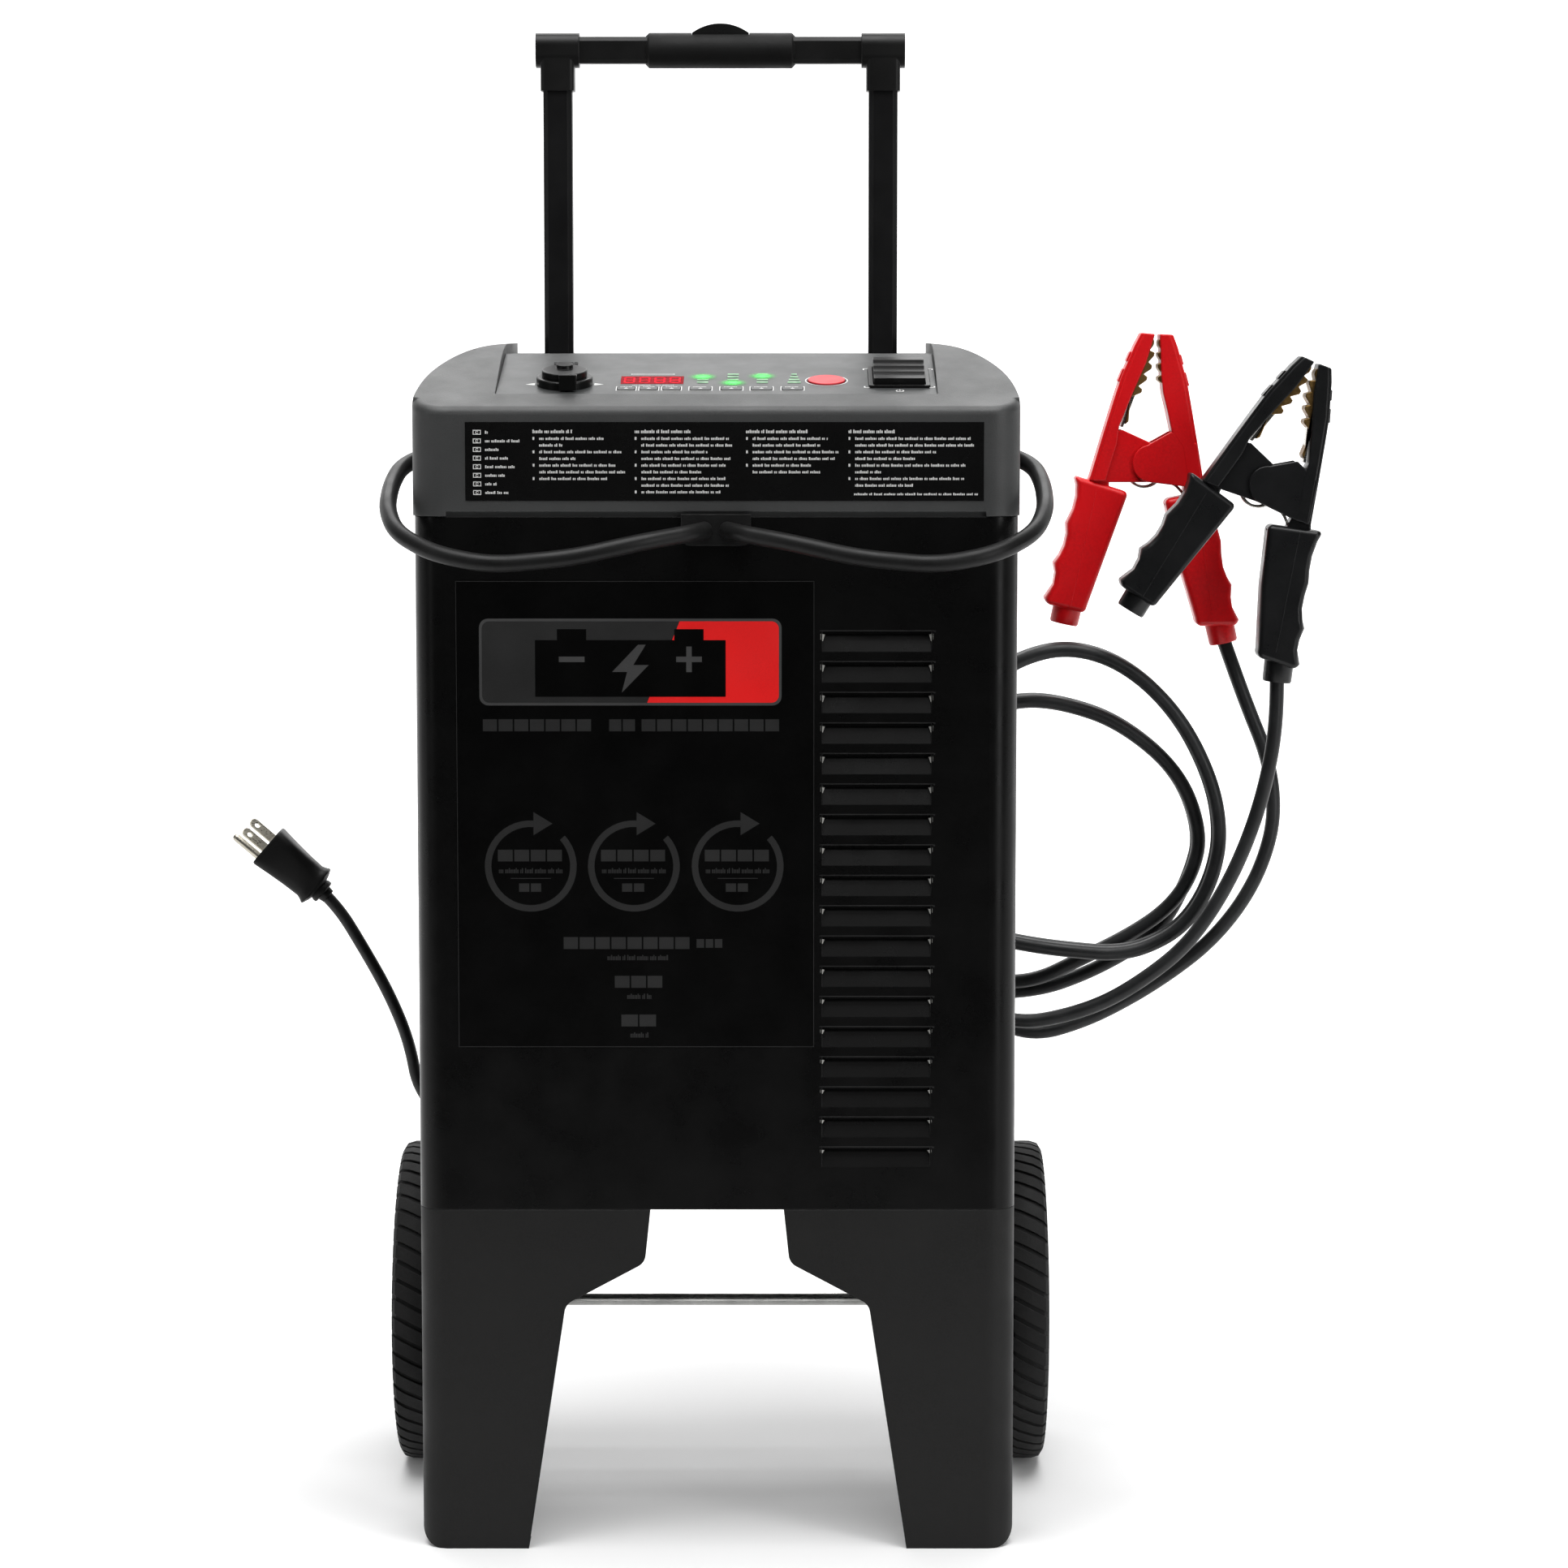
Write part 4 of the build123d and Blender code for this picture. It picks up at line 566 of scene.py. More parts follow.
def word_bars(left, bottom, length, height, seed=0):
    """A line of text as short ticks in word-long groups, which read as no letters."""
    words = (6, 3, 8, 2, 5, 7, 4)
    widths = (0.75, 0.5, 0.85, 0.6, 0.7)
    bars = []
    start = left
    word = seed
    while start < left + length - 0.8:
        for tick in range(words[word % len(words)]):
            tall = height if (tick + word) % 4 == 0 else 0.74 * height
            bars.append(bar(start, bottom, widths[(tick + word) % len(widths)], tall))
            start += widths[(tick + word) % len(widths)] + 0.25
            if start > left + length - 0.5:
                break
        start += 0.75
        word += 1
    return bars


def block_row(middle, width, bottom, height, count):
    """A row of equal blocks, centred."""
    step = width / count
    return [bar(middle - width / 2 + step * i, bottom, step - 0.9, height) for i in range(count)]


def upright_plane(distance):
    """A print plane that faces the front: x across, y up."""
    return Matrix.Translation((0, distance, 0)) @ Matrix.Rotation(radians(90), 4, "X")


def frame_bars(left, bottom, width, height, line):
    """Four bars round a rectangle."""
    return [bar(left, bottom, width, line), bar(left, bottom + height - line, width, line),
            bar(left, bottom + line, line, height - 2 * line),
            bar(left + width - line, bottom + line, line, height - 2 * line)]


label_plane = upright_plane(HOUSING_FACE - LABEL_T - 0.05)
LABEL_TOP = 626
TEXT_H = 1.55
LINE_STEP = 3.62
SYMBOL_STEP = 4.66
symbol_lines = (2.2, 20, 9, 13, 16, 11.5, 6, 13)   # length of the text beside each symbol
# Each column has its left side, and then the lengths of its heading and its lines.
text_columns = ((-99.4, (21.5, 35, 13, 45, 20, 41, 47, 37)),
                (-44, (31, 47.5, 49.5, 36, 49.5, 46, 33, 46, 47.5, 43)),
                (16.4, (33.5, 41, 38, 47, 45, 31.5, 38)),
                (72, (25, 63, 65, 44, 33.5, 60, 14, 59, 32)))


def symbol_rows():
    """Small framed symbols down the left, each with a short line of text."""
    shapes = []
    for row, length in enumerate(symbol_lines):
        bottom = LABEL_TOP - 6.3 - SYMBOL_STEP * row
        shapes += frame_bars(-131.8, bottom - 0.5, 4.4, 2.6, 0.45)
        shapes.append(ring_band((-129.6, bottom + 0.8), 0.85, 0.35, 20, 330, 10))
        shapes += word_bars(-125.2, bottom, length, TEXT_H, row)
    return shapes


def text_rows():
    """Four columns of text lines with a mark before every other line, and one long line at the bottom."""
    shapes = []
    for column, (left, lengths) in enumerate(text_columns):
        shapes += word_bars(left, LABEL_TOP - 6, lengths[0], TEXT_H + 0.35, column)
        for line, length in enumerate(lengths[1:], 1):
            bottom = LABEL_TOP - 6 - LINE_STEP * line
            shapes += word_bars(left + 3.6, bottom, length, TEXT_H, column + line)
            if line % 2 == 1:
                shapes.append(bar(left, bottom, 1, TEXT_H))
    return shapes + word_bars(75, LABEL_TOP - 39.6, 67, 1.3, 2)


print_flat("instruction_print", symbol_rows() + text_rows(), label_plane, white_ink)

BADGE_MID = (-46.8, 495.5)
BADGE_SIZE = (165, 47.5)
RING_Z = 383.4
LOWER_X = -42.5


def decal_level(layer):
    """The print plane of the front decal, one thin step forward for each layer of ink."""
    return upright_plane(FRONT - LABEL_T - 0.05 * layer)


def badge_print():
    """A two-tone badge with a plain battery sign, a bolt, a minus and a plus."""
    middle_x, middle_z = BADGE_MID
    rim = [(x + middle_x, y + middle_z) for x, y in rounded_box(*BADGE_SIZE, 5)]
    print_flat("badge_rim", [rim], decal_level(1), grey_ink)
    inner = rounded_box(BADGE_SIZE[0] - 3, BADGE_SIZE[1] - 3, 4)
    left_half = [(min(x, 18 + 0.4 * y) + middle_x, y + middle_z) for x, y in inner]
    right_half = [(max(x, 18 + 0.4 * y) + middle_x, y + middle_z) for x, y in inner]
    print_flat("badge_dark", [left_half], decal_level(2), dark_ink)
    print_flat("badge_red", [right_half], decal_level(2), red_ink)
    left, foot = middle_x - 52, middle_z - 19
    battery = [bar(left, foot, 104, 31), bar(left + 12, foot + 31, 16, 6), bar(left + 76, foot + 31, 16, 6)]
    print_flat("badge_battery", battery, decal_level(3), decal_film)
    bolt = ((4.2, 28.5), (-10, 13.6), (-1.8, 13.6), (-4.8, 2.2), (10, 17.4), (1.6, 17.4), (8.4, 28.5))
    signs = [[(x + middle_x, z + foot) for x, z in bolt], bar(left + 13, foot + 19, 14, 3),
             bar(left + 77, foot + 19, 5.5, 3), bar(left + 85.5, foot + 19, 5.5, 3),
             bar(left + 82.5, foot + 13.5, 3, 14)]
    print_flat("badge_signs", signs, decal_level(4), grey_ink)


def heading_blocks():
    """A row of blocks in three groups under the badge."""
    shapes = []
    for middle, width, count in ((-97.5, 60, 7), (-51, 15, 2), (-2.8, 76, 9)):
        shapes += block_row(middle, width, 457.6, 6.6, count)
    return shapes


def ring_arrow(x):
    """A ring that ends in an arrowhead, round two rows of blocks and a line of text."""
    shapes = [ring_band((x, RING_Z), 25.2, 3.6, 86, 402)]
    shapes.append([(x + 1.6, RING_Z + 29.8), (x + 1.6, RING_Z + 17), (x + 12, RING_Z + 23.4)])
    shapes += block_row(x, 36, RING_Z + 2.6, 6.4, 4)
    shapes += word_bars(x - 17.5, RING_Z - 4, 35, 2.9, 1)
    shapes.append(bar(x - 11, RING_Z - 7, 22, 0.4))
    shapes += block_row(x, 13, RING_Z - 14.2, 4.6, 2)
    return shapes


def lower_blocks():
    """Three rows of blocks that get shorter, each over a line of text."""
    shapes = []
    for middle, width, bottom, count in ((-49, 70, 337.5, 8), (LOWER_X, 27, 316, 3), (LOWER_X, 20, 294.5, 2)):
        shapes += block_row(middle, width, bottom, 6.6, count)
        shapes += word_bars(LOWER_X - width / 4, bottom - 6.2, width / 2, 2.9, 2)
    return shapes + block_row(-3.5, 15, 338.2, 4.8, 3)


print_flat("decal_border", frame_bars(-142, 283, 195.5, 256.7, 0.35), decal_level(1), dark_ink)
badge_print()
decal_rows = heading_blocks()
for ring_x in (-101.8, -45.3, 11.6):
    decal_rows += ring_arrow(ring_x)
decal_rows += lower_blocks()
print_flat("decal_rows", decal_rows, decal_level(1), dark_ink)

# ---- control panel marks and lights
# Places on the panel are x, and v up its slope from its front edge.
SLOPE = atan2(662 - 640.5, 90)
panel_place = Matrix.Translation(at(0, 20, 640.5)) @ Matrix.Rotation(SLOPE, 4, "X")
KEY_V = 13.4
panel_keys = ((-49.7, 9.6), (-37.3, 9.6), (-24.8, 9.6), (-8.9, 11.4), (8.1, 11.4), (24.7, 11.4),
              (41.7, 11.4))   # middle and width of each key
DISPLAY_X = -35.9
DISPLAY_V = 32.3
START_SPOT = (60.5, 31.2)
SWITCH_X = 100.6
PORT_X = -84
HALO_R = 9.5
lit_lamps = ((-8, 39), (8.75, 25.5), (25, 40.5))


def panel_level(height):
    """The panel's plane raised by this height."""
    return panel_place @ Matrix.Translation((0, 0, height))


def switch_marks():
    """Corner marks round the power switch, and a stand-by sign in front of it."""
    marks = []
    for side in (-1, 1):
        corner_x = SWITCH_X + side * 19.2
        for corner_v, bar_v in ((15.6, 15.6), (58.4, 55.4)):
            marks.append(bar(corner_x - 0.4, bar_v, 0.8, 3))
            marks.append(bar(corner_x - (3 if side > 0 else 0), corner_v - 0.4, 3, 0.8))
    marks.append(ring_band((SWITCH_X, 8.3), 2.3, 0.6, 110, 430, 20))
    marks.append(bar(SWITCH_X - 0.3, 8.3, 0.6, 2.9))
    return marks


def panel_print():
    """White frames and marks round the keys, the display, the start button, the switch and the port."""
    marks = []
    for key_x, key_w in panel_keys:
        marks += frame_bars(key_x - key_w / 2 - 0.9, KEY_V - 4.7, key_w + 1.8, 9.4, 0.5)
    marks.append(ring_band(START_SPOT, 11.9, 0.6, 0, 359))
    marks += frame_bars(DISPLAY_X - 12, 44.5, 24, 2.2, 0.4)
    for left in (-46.5, -33.5):
        marks += word_bars(left, 20.2, 10, 1.2, 1)
    for side in (-1, 1):
        base, tip = PORT_X + side * 16.4, PORT_X + side * 21.6
        marks.append([(base, 20.6), (tip, 22.6), (base, 25.4)])
    print_flat("panel_print", marks + switch_marks(), panel_level(0.08), white_ink)


def key_glyphs():
    """A short line of ticks and a small arrow on each key, which ride with the key."""
    for number, (key_x, key_w) in enumerate(panel_keys, 1):
        shapes = word_bars(key_x - key_w / 2 + 1.5, KEY_V + 1.2, key_w - 3, 1.1, 2)
        shapes.append([(key_x - 1.3, KEY_V - 2), (key_x + 1.3, KEY_V - 2), (key_x, KEY_V)])
        print_flat(f"key_{number}_glyph", shapes, panel_level(0.58), white_ink, f"key_{number}_body")


def display_digits():
    """Four seven-bar numerals on the display."""
    segments = [(-2.2, bottom, 4.4, 0.9) for bottom in (5.2, -0.45, -6.1)]
    segments += [(left, bottom, 0.9, 4.7) for bottom in (0.5, -5.2) for left in (-3, 2.1)]
    shapes = []
    for digit in range(4):
        middle = DISPLAY_X - 12.6 + 8.4 * digit
        for left, bottom, width, height in segments:
            shapes.append(bar(middle + left, DISPLAY_V + bottom, width, height))
    print_flat("display_digits", shapes, panel_level(0.14), display_digit)


def halo_light(name):
    """Green light, full in the middle, that fades out evenly to the halo's edge."""
    look = Look(name)
    soft = look.maths("POWER", look.remap(look.reach(), 0.0012, HALO_R * MM, 1, 0), 1.6)
    shade = look.blend(soft, (0, 0.25, 0.02), (0.04, 0.9, 0.08))
    uneven = look.clouds(900, 3, 0.3, 0.7, 0.85, 1)
    return look.dress({"Base Color": shade, "Emission Color": shade, "Emission Strength": 1,
                       "Alpha": look.maths("MULTIPLY", soft, uneven)})


def lamp_glow(name, x, v):
    """A round halo that lies on the panel. Its object stands at its middle, for the fade."""
    disc = bmesh.new()
    disc.faces.new([disc.verts.new((*point, 0)) for point in arc((0, 0), HALO_R, 0, 350, 35)])
    piece = finish_mesh(name, disc, halo_light(f"{name}_light"))
    place = panel_level(0.36) @ Matrix.Translation((x, v, 0))
    turn = place.to_quaternion().to_matrix().to_4x4()
    piece.matrix_world = Matrix.Translation(place.translation * MM) @ turn
    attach(piece, "chassis")


panel_print()
key_glyphs()
display_digits()
for number, (lamp_x, lamp_v) in enumerate(lit_lamps, 1):
    lamp_glow(f"lamp_glow_{number}", lamp_x, lamp_v)

# ---- painted highlights on the louver edges
LOUVER_COUNT = 18
LOUVER_TOP_Z = 512.2
LOUVER_PITCH = 16.79
LOUVER_X = 87.7
LOUVER_W = 62


def louver_highlights():
    """A thin painted highlight along the sheared top edge of each louver, and painted glints on the drawn
    corners at its ends.
    """
    edges = []
    glints = bmesh.new()
    for i in range(LOUVER_COUNT):
        top = LOUVER_TOP_Z - LOUVER_PITCH * i
        left, right = LOUVER_X - LOUVER_W / 2, LOUVER_X + LOUVER_W / 2
        # A thin strip in lighter grey: the painted highlight along the top edge.
        edges.append([(left - 0.6, top + 0.1), (left + 0.2, top + 0.7), (right - 0.2, top + 0.7),
                      (right + 1.2, top + 0.5), (right + 0.8, top - 0.5), (right - 0.4, top + 0.3),
                      (left + 0.8, top + 0.3)])
        # Painted glints: small tilted light grey pieces at both ends, smaller on the lower louvers.
        size = 5.4 - 0.12 * i
        for side, end in ((1, left), (-1, right)):
            corners = ((end + side * 0.3, -0.1, top - 1.2), (end + side * 2.6, 1.9, top - 1.8),
                       (end + side * 1.5, 0.9, top - size), (end + side * 0.3, -0.1, top - 0.8 * size))
            glints.faces.new([glints.verts.new((x, FRONT + back, z)) for x, back, z in corners])
    print_flat("louver_slit_highlights", edges, upright_plane(FRONT - 0.06), slit_highlight)
    piece = finish_mesh("louver_painted_glints", glints, painted_glint)
    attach(piece, "chassis")


louver_highlights()

# ---- tyres
LUG_COUNT = 54
TREAD_HALF = 11.4
TYRE_STEPS = 144


def tyre_piece(side, name):
    """A tyre with round shoulders and slanting lugs."""
    tyre = bmesh.new()
    half_profile = [(4, 93.4), (8.6, 92.4), (11, 89.4), (11.9, 84), (12, 74), (11.6, 68.2)]
    profile = [(-x, r) for x, r in reversed(half_profile)] + half_profile
    rings = []
    for step in range(TYRE_STEPS):
        angle = tau * step / TYRE_STEPS
        rings.append([(side * WHEEL_MID + x, r * cos(angle), r * sin(angle)) for x, r in profile])
    add_rings(tyre, rings, closed=True)
    pitch = tau / LUG_COUNT
    stations = ((-TREAD_HALF, 90.4), (-9.4, 93.6), (-5, 94.9), (0, 95), (5, 94.9), (9.4, 93.6),
                (TREAD_HALF, 90.4))
    for lug in range(LUG_COUNT):
        sections = []
        for x, top in stations:
            middle = pitch * (lug + 0.55 * x / TREAD_HALF)
            section = []
            for turn, radius in ((-0.36, top - 3.4), (-0.36, top), (0.36, top), (0.36, top - 3.4)):
                angle = middle + turn * pitch
                section.append((side * WHEEL_MID + x, radius * cos(angle), radius * sin(angle)))
            sections.append(section)
        add_rings(tyre, sections)
    place = Matrix.Translation((0, WHEEL_AXIS[0], WHEEL_AXIS[1]))
    piece = finish_mesh(f"{name}_tyre_tread", tyre, tyre_rubber, place, 30)
    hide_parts(f"{name}_tyre")
    settle([piece], f"{name}_wheel")


tyre_piece(-1, "left")
tyre_piece(1, "right")

# ---- mains plug
PLUG_DIR = Vector((-0.757, 0, 0.653)).normalized()
BLADE_APART = 12.7
GROUND_OFFSET = 11.9
BLADE_ROOT = (1, -1, 37)
BLADE_ROLL = 44


def plug_place():
    """Local z along the plug, local x towards the back."""
    side_axis = Vector((0, 1, 0))
    third = PLUG_DIR.cross(side_axis)
    rotation = Matrix((side_axis, third, PLUG_DIR)).transposed().to_4x4()
    return Matrix.Translation(at(-248, 250, 341)) @ rotation


def add_holed_plate(mesh_data, outline, hole, half):
    """Adds a plate of this half thickness that faces x, with a round hole through it."""
    faces = []
    for x in (-half, half):
        outer_ring = [mesh_data.verts.new((x, a, b)) for a, b in outline]
        inner_ring = [mesh_data.verts.new((x, a, b)) for a, b in hole]
        edges = [mesh_data.edges.new((ring[i], ring[(i + 1) % len(ring)]))
                 for ring in (outer_ring, inner_ring) for i in range(len(ring))]
        bmesh.ops.triangle_fill(mesh_data, edges=edges, use_beauty=True)
        faces.append((outer_ring, inner_ring))
    for first, second in zip(*faces):
        for i in range(len(first)):
            j = (i + 1) % len(first)
            mesh_data.faces.new((first[i], first[j], second[j], second[i]))


def plug_blades():
    """Two flat blades with a hole each and a round ground pin, turned partly to the front."""
    roll = Matrix.Translation(BLADE_ROOT) @ Matrix.Rotation(radians(BLADE_ROLL), 4, "Z")
    blades = bmesh.new()
    half_tip = [(3.15, -3), (3.15, 15), (2.2, 16.6), (0.8, 17.2)]
    tip = half_tip + [(-x, y) for x, y in reversed(half_tip)]
    for middle in (-BLADE_APART / 2, BLADE_APART / 2):
        before = len(blades.verts)
        add_holed_plate(blades, tip, arc((0, 12.4), 1.6, 0, 345, 23), 0.75)
        fresh = list(blades.verts)[before:]
        bmesh.ops.transform(blades, matrix=Matrix.Translation((middle, 0, 0)), verts=fresh)
    blade_piece = finish_mesh("plug_flat_blades", blades, blade_metal, plug_place() @ roll)
    round_edges(blade_piece, 0.25)
    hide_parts("plug_blades")
    pin_profile = ((2.4, -3), (2.4, 16.8), (2.1, 18), (1.2, 18.9), (0.3, 19.1))
    pin_place = plug_place() @ roll @ Matrix.Translation((0, GROUND_OFFSET, 0))
    ground_pin = turned_piece("plug_ground_pin", pin_profile, 28, blade_metal, pin_place, 60)
    settle([blade_piece, ground_pin])
    return [blade_piece, ground_pin]


def plug_pieces():
    """Moulded plug with finger wings at its back and a slim tapered relief."""
    body = bmesh.new()
    # Each section has its half sizes, its place along the plug and how square it is.
    sections = [(6.2, 6.2, -7.8, 2), (6.6, 7.4, -7.2, 2.4), (6.6, 7.4, -5.2, 2.4), (6.2, 6.8, -4, 2.4),
                (7.4, 9.6, -3.2, 3), (9.4, 13, -1.7, 3.2), (9.5, 13.3, -0.8, 3.2),
                (9, 12.2, 1.2, 3.2), (8.7, 11.4, 3.6, 3.2), (9, 11.5, 9, 3.6),
                (9.8, 11.7, 15.5, 4), (10.6, 12.2, 24, 5), (11.6, 13.2, 35.6, 6),
                (11.2, 12.8, 36.7, 6), (10.6, 12.2, 37, 6)]
    add_rings(body, [oval_ring(*section) for section in sections])
    plug = finish_mesh("plug_body", body, plug_plastic, plug_place(), 50)
    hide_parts("mains_plug")
    relief_profile = ((4, -11.4), (4.5, -11), (5, -7.4), (5, -3))
    relief = turned_piece("plug_relief", relief_profile, 32, plug_plastic, plug_place(), 40)
    settle([plug, relief])
    return [plug, relief] + plug_blades()


plug_parts = plug_pieces()

# ---- battery clamps
CLAMP_HALF = 10.9
PIVOTS = {"red": at(257, 273, 596), "black": at(323, 230, 585)}
TILTS = {"red": 3.5, "black": 22.5}
# Outlines for the right-hand arm, from the pivot: x across, y towards the tips.
beam_outer = ((9.6, 77.6), (13, 70), (20, 50), (23.5, 36), (29, 13), (35, -13))
beam_foot = ((25, -12.5), (19.5, 11))
INNER_OPEN = ((19, 21), (12.3, 41), (5.4, 60), (1.3, 77.4))      # leaves the teeth in view
INNER_FULL = ((12.6, 19.4), (8.9, 32.6), (5.8, 42.4), (3.9, 53.5), (2.6, 67.4), (1.4, 77.6))
HIDING_JAW = ("red", 1)   # the one jaw whose beam hides its teeth
RIM_STEP = 1.9   # the outer rim stands back from the beam's flat face
# grips: crests and hollows down the outer side, then the inner side from the bottom up
fixed_grip = ((43.4, -13), (42.6, -20), (43, -29), (44.8, -37), (47.4, -44.6), (48.2, -52), (49.8, -60),
              (52.6, -66), (55.8, -70.6), (55.8, -78), (57, -84), (61.6, -91.4), (60.6, -95.4), (36, -97),
              (34.8, -92), (21.8, -57), (11.2, -21.5))
moving_grip = ((43.9, -10.4), (42.2, -16), (41.8, -23), (43.2, -31), (46.8, -39.6), (46.2, -46), (47.2, -53),
               (49.6, -59), (52.9, -64), (51.4, -70), (52, -77), (57, -85.4), (56, -89), (32, -93.4),
               (31, -89), (10.6, -18.6))
BOOTS = {1: ((50.4, -94), (54.2, -107)), -1: ((41.9, -88), (44, -101.6))}
GRIP_HALF = 10.6
SPRING_MID = (-1.6, -4.8)
SPRING_R = 10.4
SPRING_HALF = 4.6
SPRING_TURNS = 4
SPRING_POINTS = 14   # in each turn
plastics = {"red": red_plastic, "black": black_plastic}
tooth_tips = ((1.3, 71.4), (0.6, 65), (1.6, 57.2), (4, 50.2), (6.6, 42.6))
hidden_tips = ((1, 71.4), (1.2, 65), (1.5, 58), (2.2, 50.5), (5.8, 43))


def toothed_edge(tips):
    """Blunt teeth along a jaw, with the bottom of each valley between two tips."""
    outline = [(tips[0][0] + 0.6, 74.5)]
    for tip, after in zip(tips, tips[1:] + ((11, 36),)):
        outline.append((tip[0], tip[1] + 1.2))
        outline.append((tip[0] + 0.3, tip[1] - 0.9))
        outline.append((max(tip[0], after[0]) + 2.4, (tip[1] + after[1]) / 2 - 0.8))
    return outline


def clamp_place(name):
    """Local x across the clamp, local y towards its tips, local z to the front."""
    tilt = radians(TILTS[name])
    axes = (Vector((cos(tilt), 0, -sin(tilt))), Vector((sin(tilt), 0, cos(tilt))), Vector((0, -1, 0)))
    return Matrix.Translation(PIVOTS[name]) @ Matrix(axes).transposed().to_4x4()


def mirrored(outline, side):
    """The outline for the right arm, or turned over for the left."""
    return [(side * x, y) for x, y in outline]


def clamp_label(name, side):
    """How the names of one arm's pieces start."""
    return f"{name}_{'right' if side > 0 else 'left'}"


def beam_pieces(label, side, inner_edge, plastic, place):
    """The beam of an arm with its raised flat faces, and the two cheeks beside the pin."""
    flat_face = tuple((x - RIM_STEP, y) for x, y in beam_outer)
    set_back_edge = tuple((x + 0.1, y - 0.2) for x, y in inner_edge)
    slabs = [(mirrored(beam_outer + inner_edge, side), -CLAMP_HALF + 1.2, CLAMP_HALF - 1.2),
             (mirrored(flat_face + set_back_edge, side), -CLAMP_HALF, CLAMP_HALF)]
    beam = slab_piece(f"{label}_beam", slabs, plastic, place, 0.9)
    if side > 0:
        inner, outer = 8.9, 10.8
        round_end = arc((1.8, -0.4), 11.4, 106, 268, 24)
        ear = [(28.5, 13), (12.4, 19.4)] + round_end + [(26, -13.2), (33.4, -12.4)]
    else:
        inner, outer = 6.3, 8.2
        round_end = arc((0, 0), 11.9, 96, 262, 24)
        ear = [(28.5, 13), (17.2, 18.9)] + round_end + [(24, -13.4), (33.4, -12.4)]
    slabs = [(mirrored(ear, side), low, low + outer - inner) for low in (inner, -outer)]
    cheeks = slab_piece(f"{label}_cheeks", slabs, plastic, place, 0.7)
    return [beam, cheeks]


def grip_pieces(label, side, plastic, place):
    """The moulded grip, its raised seam, and the neck between it and the beam."""
    outline = mirrored(fixed_grip if side > 0 else moving_grip, side)
    grip = slab_piece(f"{label}_grip", [(outline, -GRIP_HALF, GRIP_HALF)], plastic, place, 3.4, 6, 60, 50)
    seam_foot = 45.5 if side > 0 else 41.5
    outline = mirrored(((30, -18.6), (30.6, -18.6), (seam_foot, -90), (seam_foot - 0.6, -90)), side)
    seam_half = GRIP_HALF + 0.15
    seam = slab_piece(f"{label}_seam", [(outline, -seam_half, seam_half)], plastic, place, 0.25)
    outline = mirrored(((23, -8), (33.5, -8), (40, -24), (22, -24)), side)
    neck = slab_piece(f"{label}_neck", [(outline, -7.5, 7.5)], plastic, place, 1.2)
    return [grip, seam, neck]


def boot_piece(label, side, plastic, place):
    """The round boot at the end of a grip, hollow where a lead comes out."""
    profile = ((8.9, 0), (8.7, 11.8), (8.1, 12.9), (LEAD_D / 2 + 0.9, 13.1), (LEAD_D / 2 + 0.7, 7))
    (start_x, start_y), (end_x, end_y) = BOOTS[side]
    down = Vector((side * (end_x - start_x), end_y - start_y, 0))
    turn = down.to_track_quat("Z", "Y").to_matrix().to_4x4()
    boot_place = place @ Matrix.Translation((side * start_x, start_y, 0)) @ turn
    return turned_piece(f"{label}_boot", profile, 36, plastic, boot_place, 50)


def clip_piece(label, side, plastic, place):
    """Two low clips on the beam's outer face and a small one below the pin."""
    slope = (20 - 12.5) / (49 - 71)
    slabs = []
    for low, high in ((47.5, 55.5), (60, 66)):
        corners = ((low, -1), (low, 1.3), (high, 1.3), (high, -1))
        clip = [(20 + slope * (y - 49) + out, y) for y, out in corners]
        slabs.append((mirrored(clip, side), -6.5, 6.5))
    slabs.append((mirrored(((13.2, -22.5), (11.6, -24.5), (14.4, -29), (16.5, -29)), side), -3, 3))
    return slab_piece(f"{label}_clips", slabs, plastic, place, 0.5)


def arm_pieces(name, side, body):
    """All the plastic pieces of one clamp arm, with its beam first."""
    plastic = plastics[name]
    place = clamp_place(name)
    label = clamp_label(name, side)
    inner_edge = INNER_FULL if (name, side) == HIDING_JAW else INNER_OPEN
    pieces = beam_pieces(label, side, beam_foot + inner_edge, plastic, place)
    pieces += grip_pieces(label, side, plastic, place)
    pieces.append(boot_piece(label, side, plastic, place))
    pieces.append(clip_piece(label, side, plastic, place))
    settle(pieces, body)
    return pieces


def jaw_pieces(name, side, body):
    """Brass teeth in three plates, and the steel strip that they sit on."""
    place = clamp_place(name)
    label = clamp_label(name, side)
    backing = [(13.5, 24), (15.5, 22), (14, 36), (8, 56), (5.2, 74.5)]
    tips = hidden_tips if (name, side) == HIDING_JAW else tooth_tips
    outline = mirrored(backing + toothed_edge(tips), side)
    plates = [(outline, low, high) for low, high in ((-8.3, -2.6), (-2, 2), (2.6, 8.3))]
    teeth = slab_piece(f"{label}_teeth", plates, brass, place, 0.5)
    outline = mirrored(((9.8, 42), (11.8, 42), (17.9, 20.5), (16.4, 20.2)), side)
    strip = slab_piece(f"{label}_strip", [(outline, -5.5, 5.5)], spring_steel, place, 0.3)
    settle([teeth], body)
    settle([strip], body)
    return [teeth, strip]


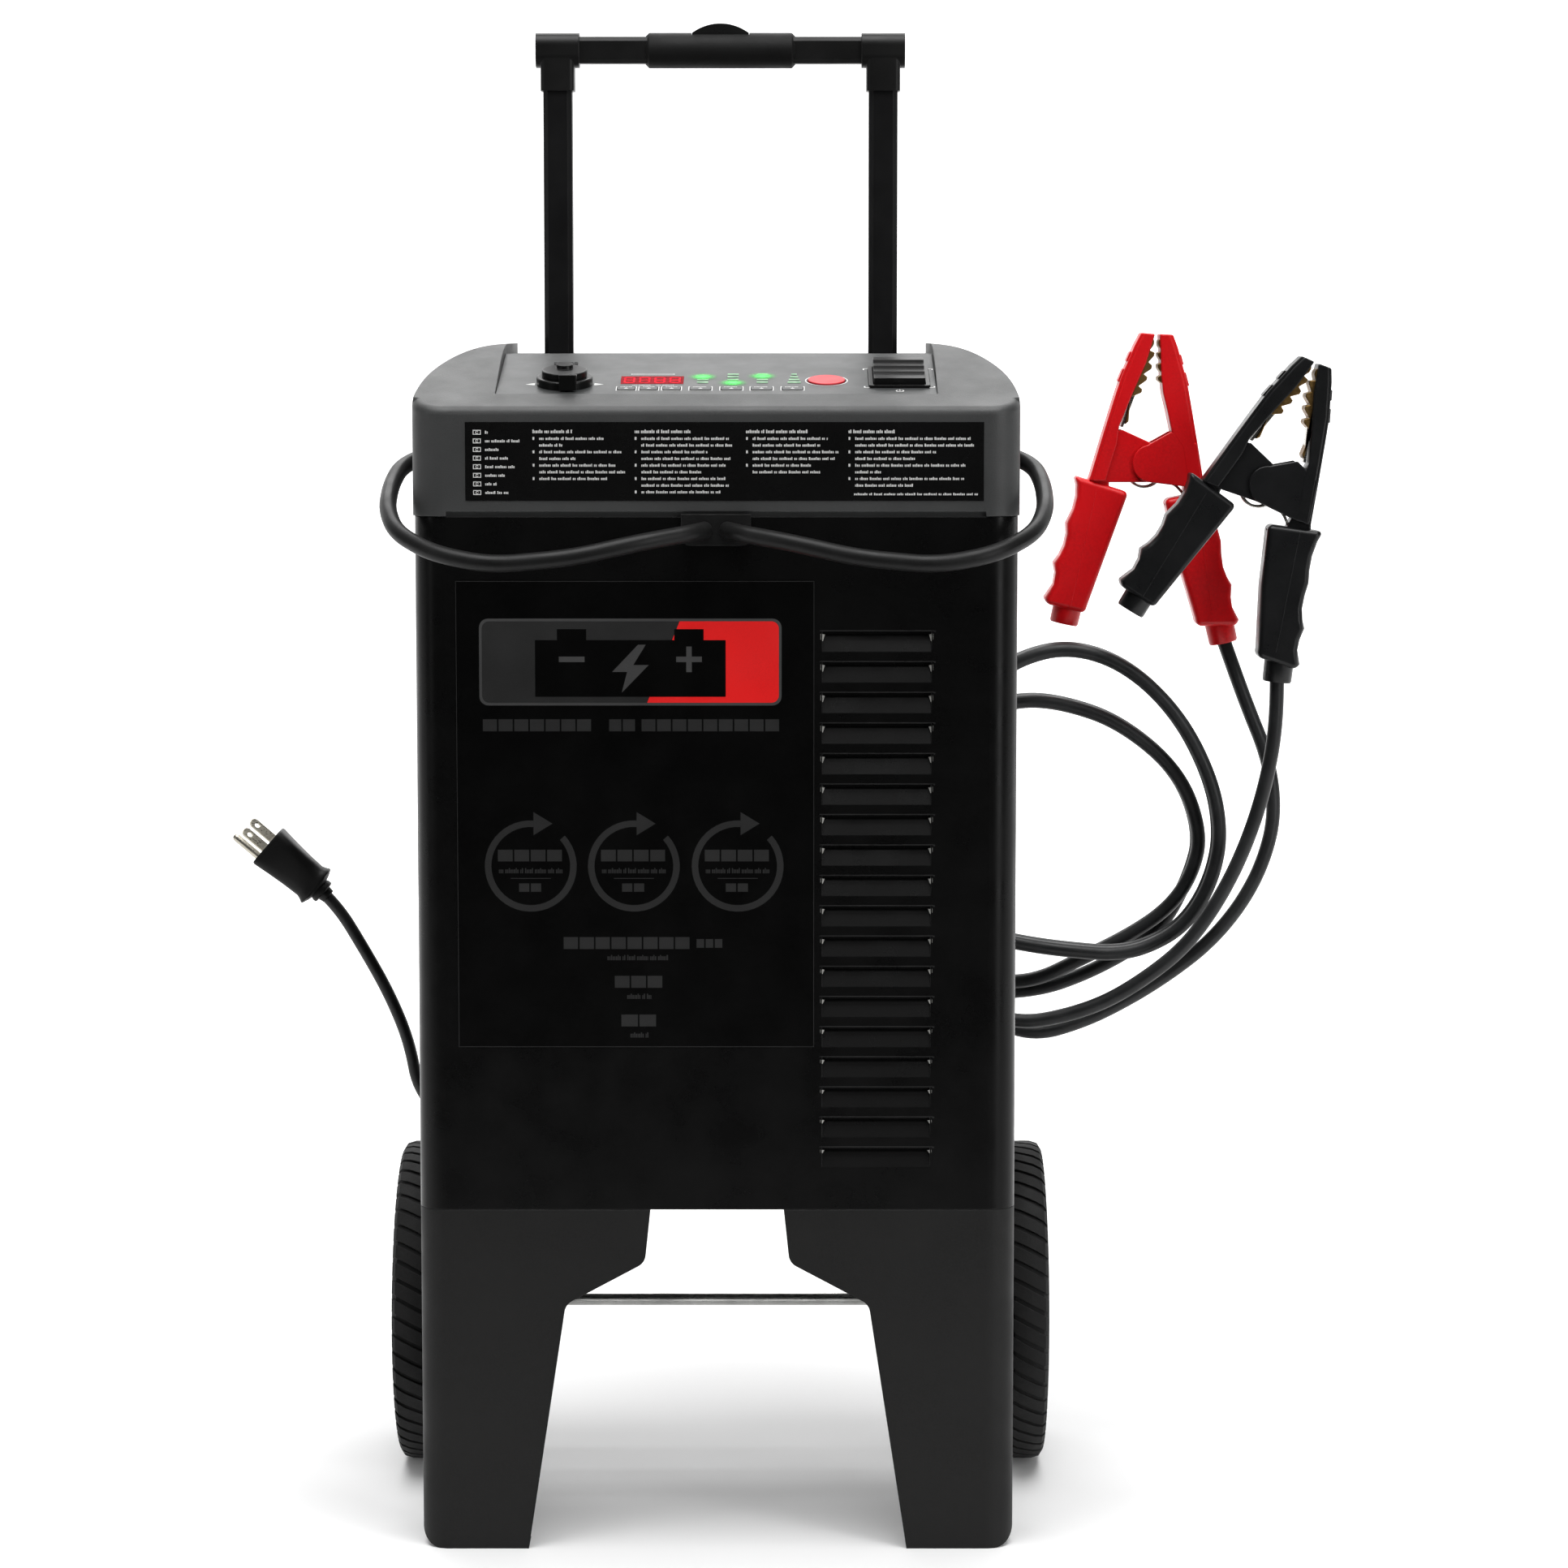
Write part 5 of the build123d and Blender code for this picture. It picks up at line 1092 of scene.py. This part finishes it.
def spring_piece(name):
    """A torsion spring round the pin, with a leg towards each grip."""
    place = clamp_place(name)
    steps = SPRING_TURNS * SPRING_POINTS + 8
    points = [(-16.6, -12.2, -SPRING_HALF), (-14.6, -9.2, -SPRING_HALF), (-12.2, -6, -SPRING_HALF)]
    for step in range(steps):
        angle = tau * (step - 6) / SPRING_POINTS + pi
        height = SPRING_HALF * (2 * step / (steps - 1) - 1)
        points.append((SPRING_MID[0] + SPRING_R * cos(angle), SPRING_MID[1] + SPRING_R * sin(angle), height))
    points += [(14, -10.5, SPRING_HALF), (21, -15, SPRING_HALF), (28, -24, SPRING_HALF)]
    piece = wire(f"{name}_spring", [place @ Vector(point) for point in points], 1.7, spring_steel)
    settle([piece])
    return piece


def pin_piece(name):
    """The pivot pin, riveted flush under the cheeks."""
    profile = ((2.2, -8.7), (3, -8.2), (3, 8.2), (2.2, 8.7))
    piece = turned_piece(f"{name}_pivot_pin", profile, 28, spring_steel, clamp_place(name))
    settle([piece])
    return piece


for name in plastics:
    fixed_arm = arm_pieces(name, 1, "chassis")
    moving_arm = arm_pieces(name, -1, f"{name}_swing_arm")
    fixed_jaw = jaw_pieces(name, 1, "chassis")
    moving_jaw = jaw_pieces(name, -1, f"{name}_swing_arm")
    spring = spring_piece(name)
    pin = pin_piece(name)
    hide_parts(f"{name}_fixed_arm")
    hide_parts(f"{name}_moving_arm")
    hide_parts(f"{name}_moving_jaw")
    if name == "red":
        # Each of these CAD nodes holds a piece of both clamps, so the red clamp's piece stands for it.
        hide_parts("clamp_fixed_jaws")
        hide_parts("clamp_springs")
        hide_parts("clamp_pins")

# ---- cords on their bodies
TIE_WIDTH = 9
TIE_THICKNESS = 1.2


def coil_tie(name, spot, across, depth, turn):
    """A flat tie round one side of a coil."""
    half = TIE_WIDTH / 2
    corner = min(across, depth) / 2 - 0.2
    outline = rounded_box(across, depth, corner, 8)
    inner = rounded_box(across - 2 * TIE_THICKNESS, depth - 2 * TIE_THICKNESS, corner - TIE_THICKNESS, 8)
    rings = [[(x, y, z) for x, y in edge]
             for edge, z in ((inner, -half), (outline, -half), (outline, half), (inner, half))]
    band = bmesh.new()
    add_rings(band, rings, closed=True)
    piece = finish_mesh(name, band, cord_rubber, Matrix.Translation(spot) @ turn)
    round_edges(piece, 0.4)
    settle([piece])
    return piece


tie = coil_tie("mains_tie", at(MAINS_COIL[0], 258, MAINS_COIL[1] + MAINS_COIL_R), 14, 52,
               Matrix.Rotation(radians(90), 4, "Y"))
settle([mains_cord, red_lead, black_lead])
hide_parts("mains_cord", "mains_coil")
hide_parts("red_lead", "lead_coil")
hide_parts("black_lead")
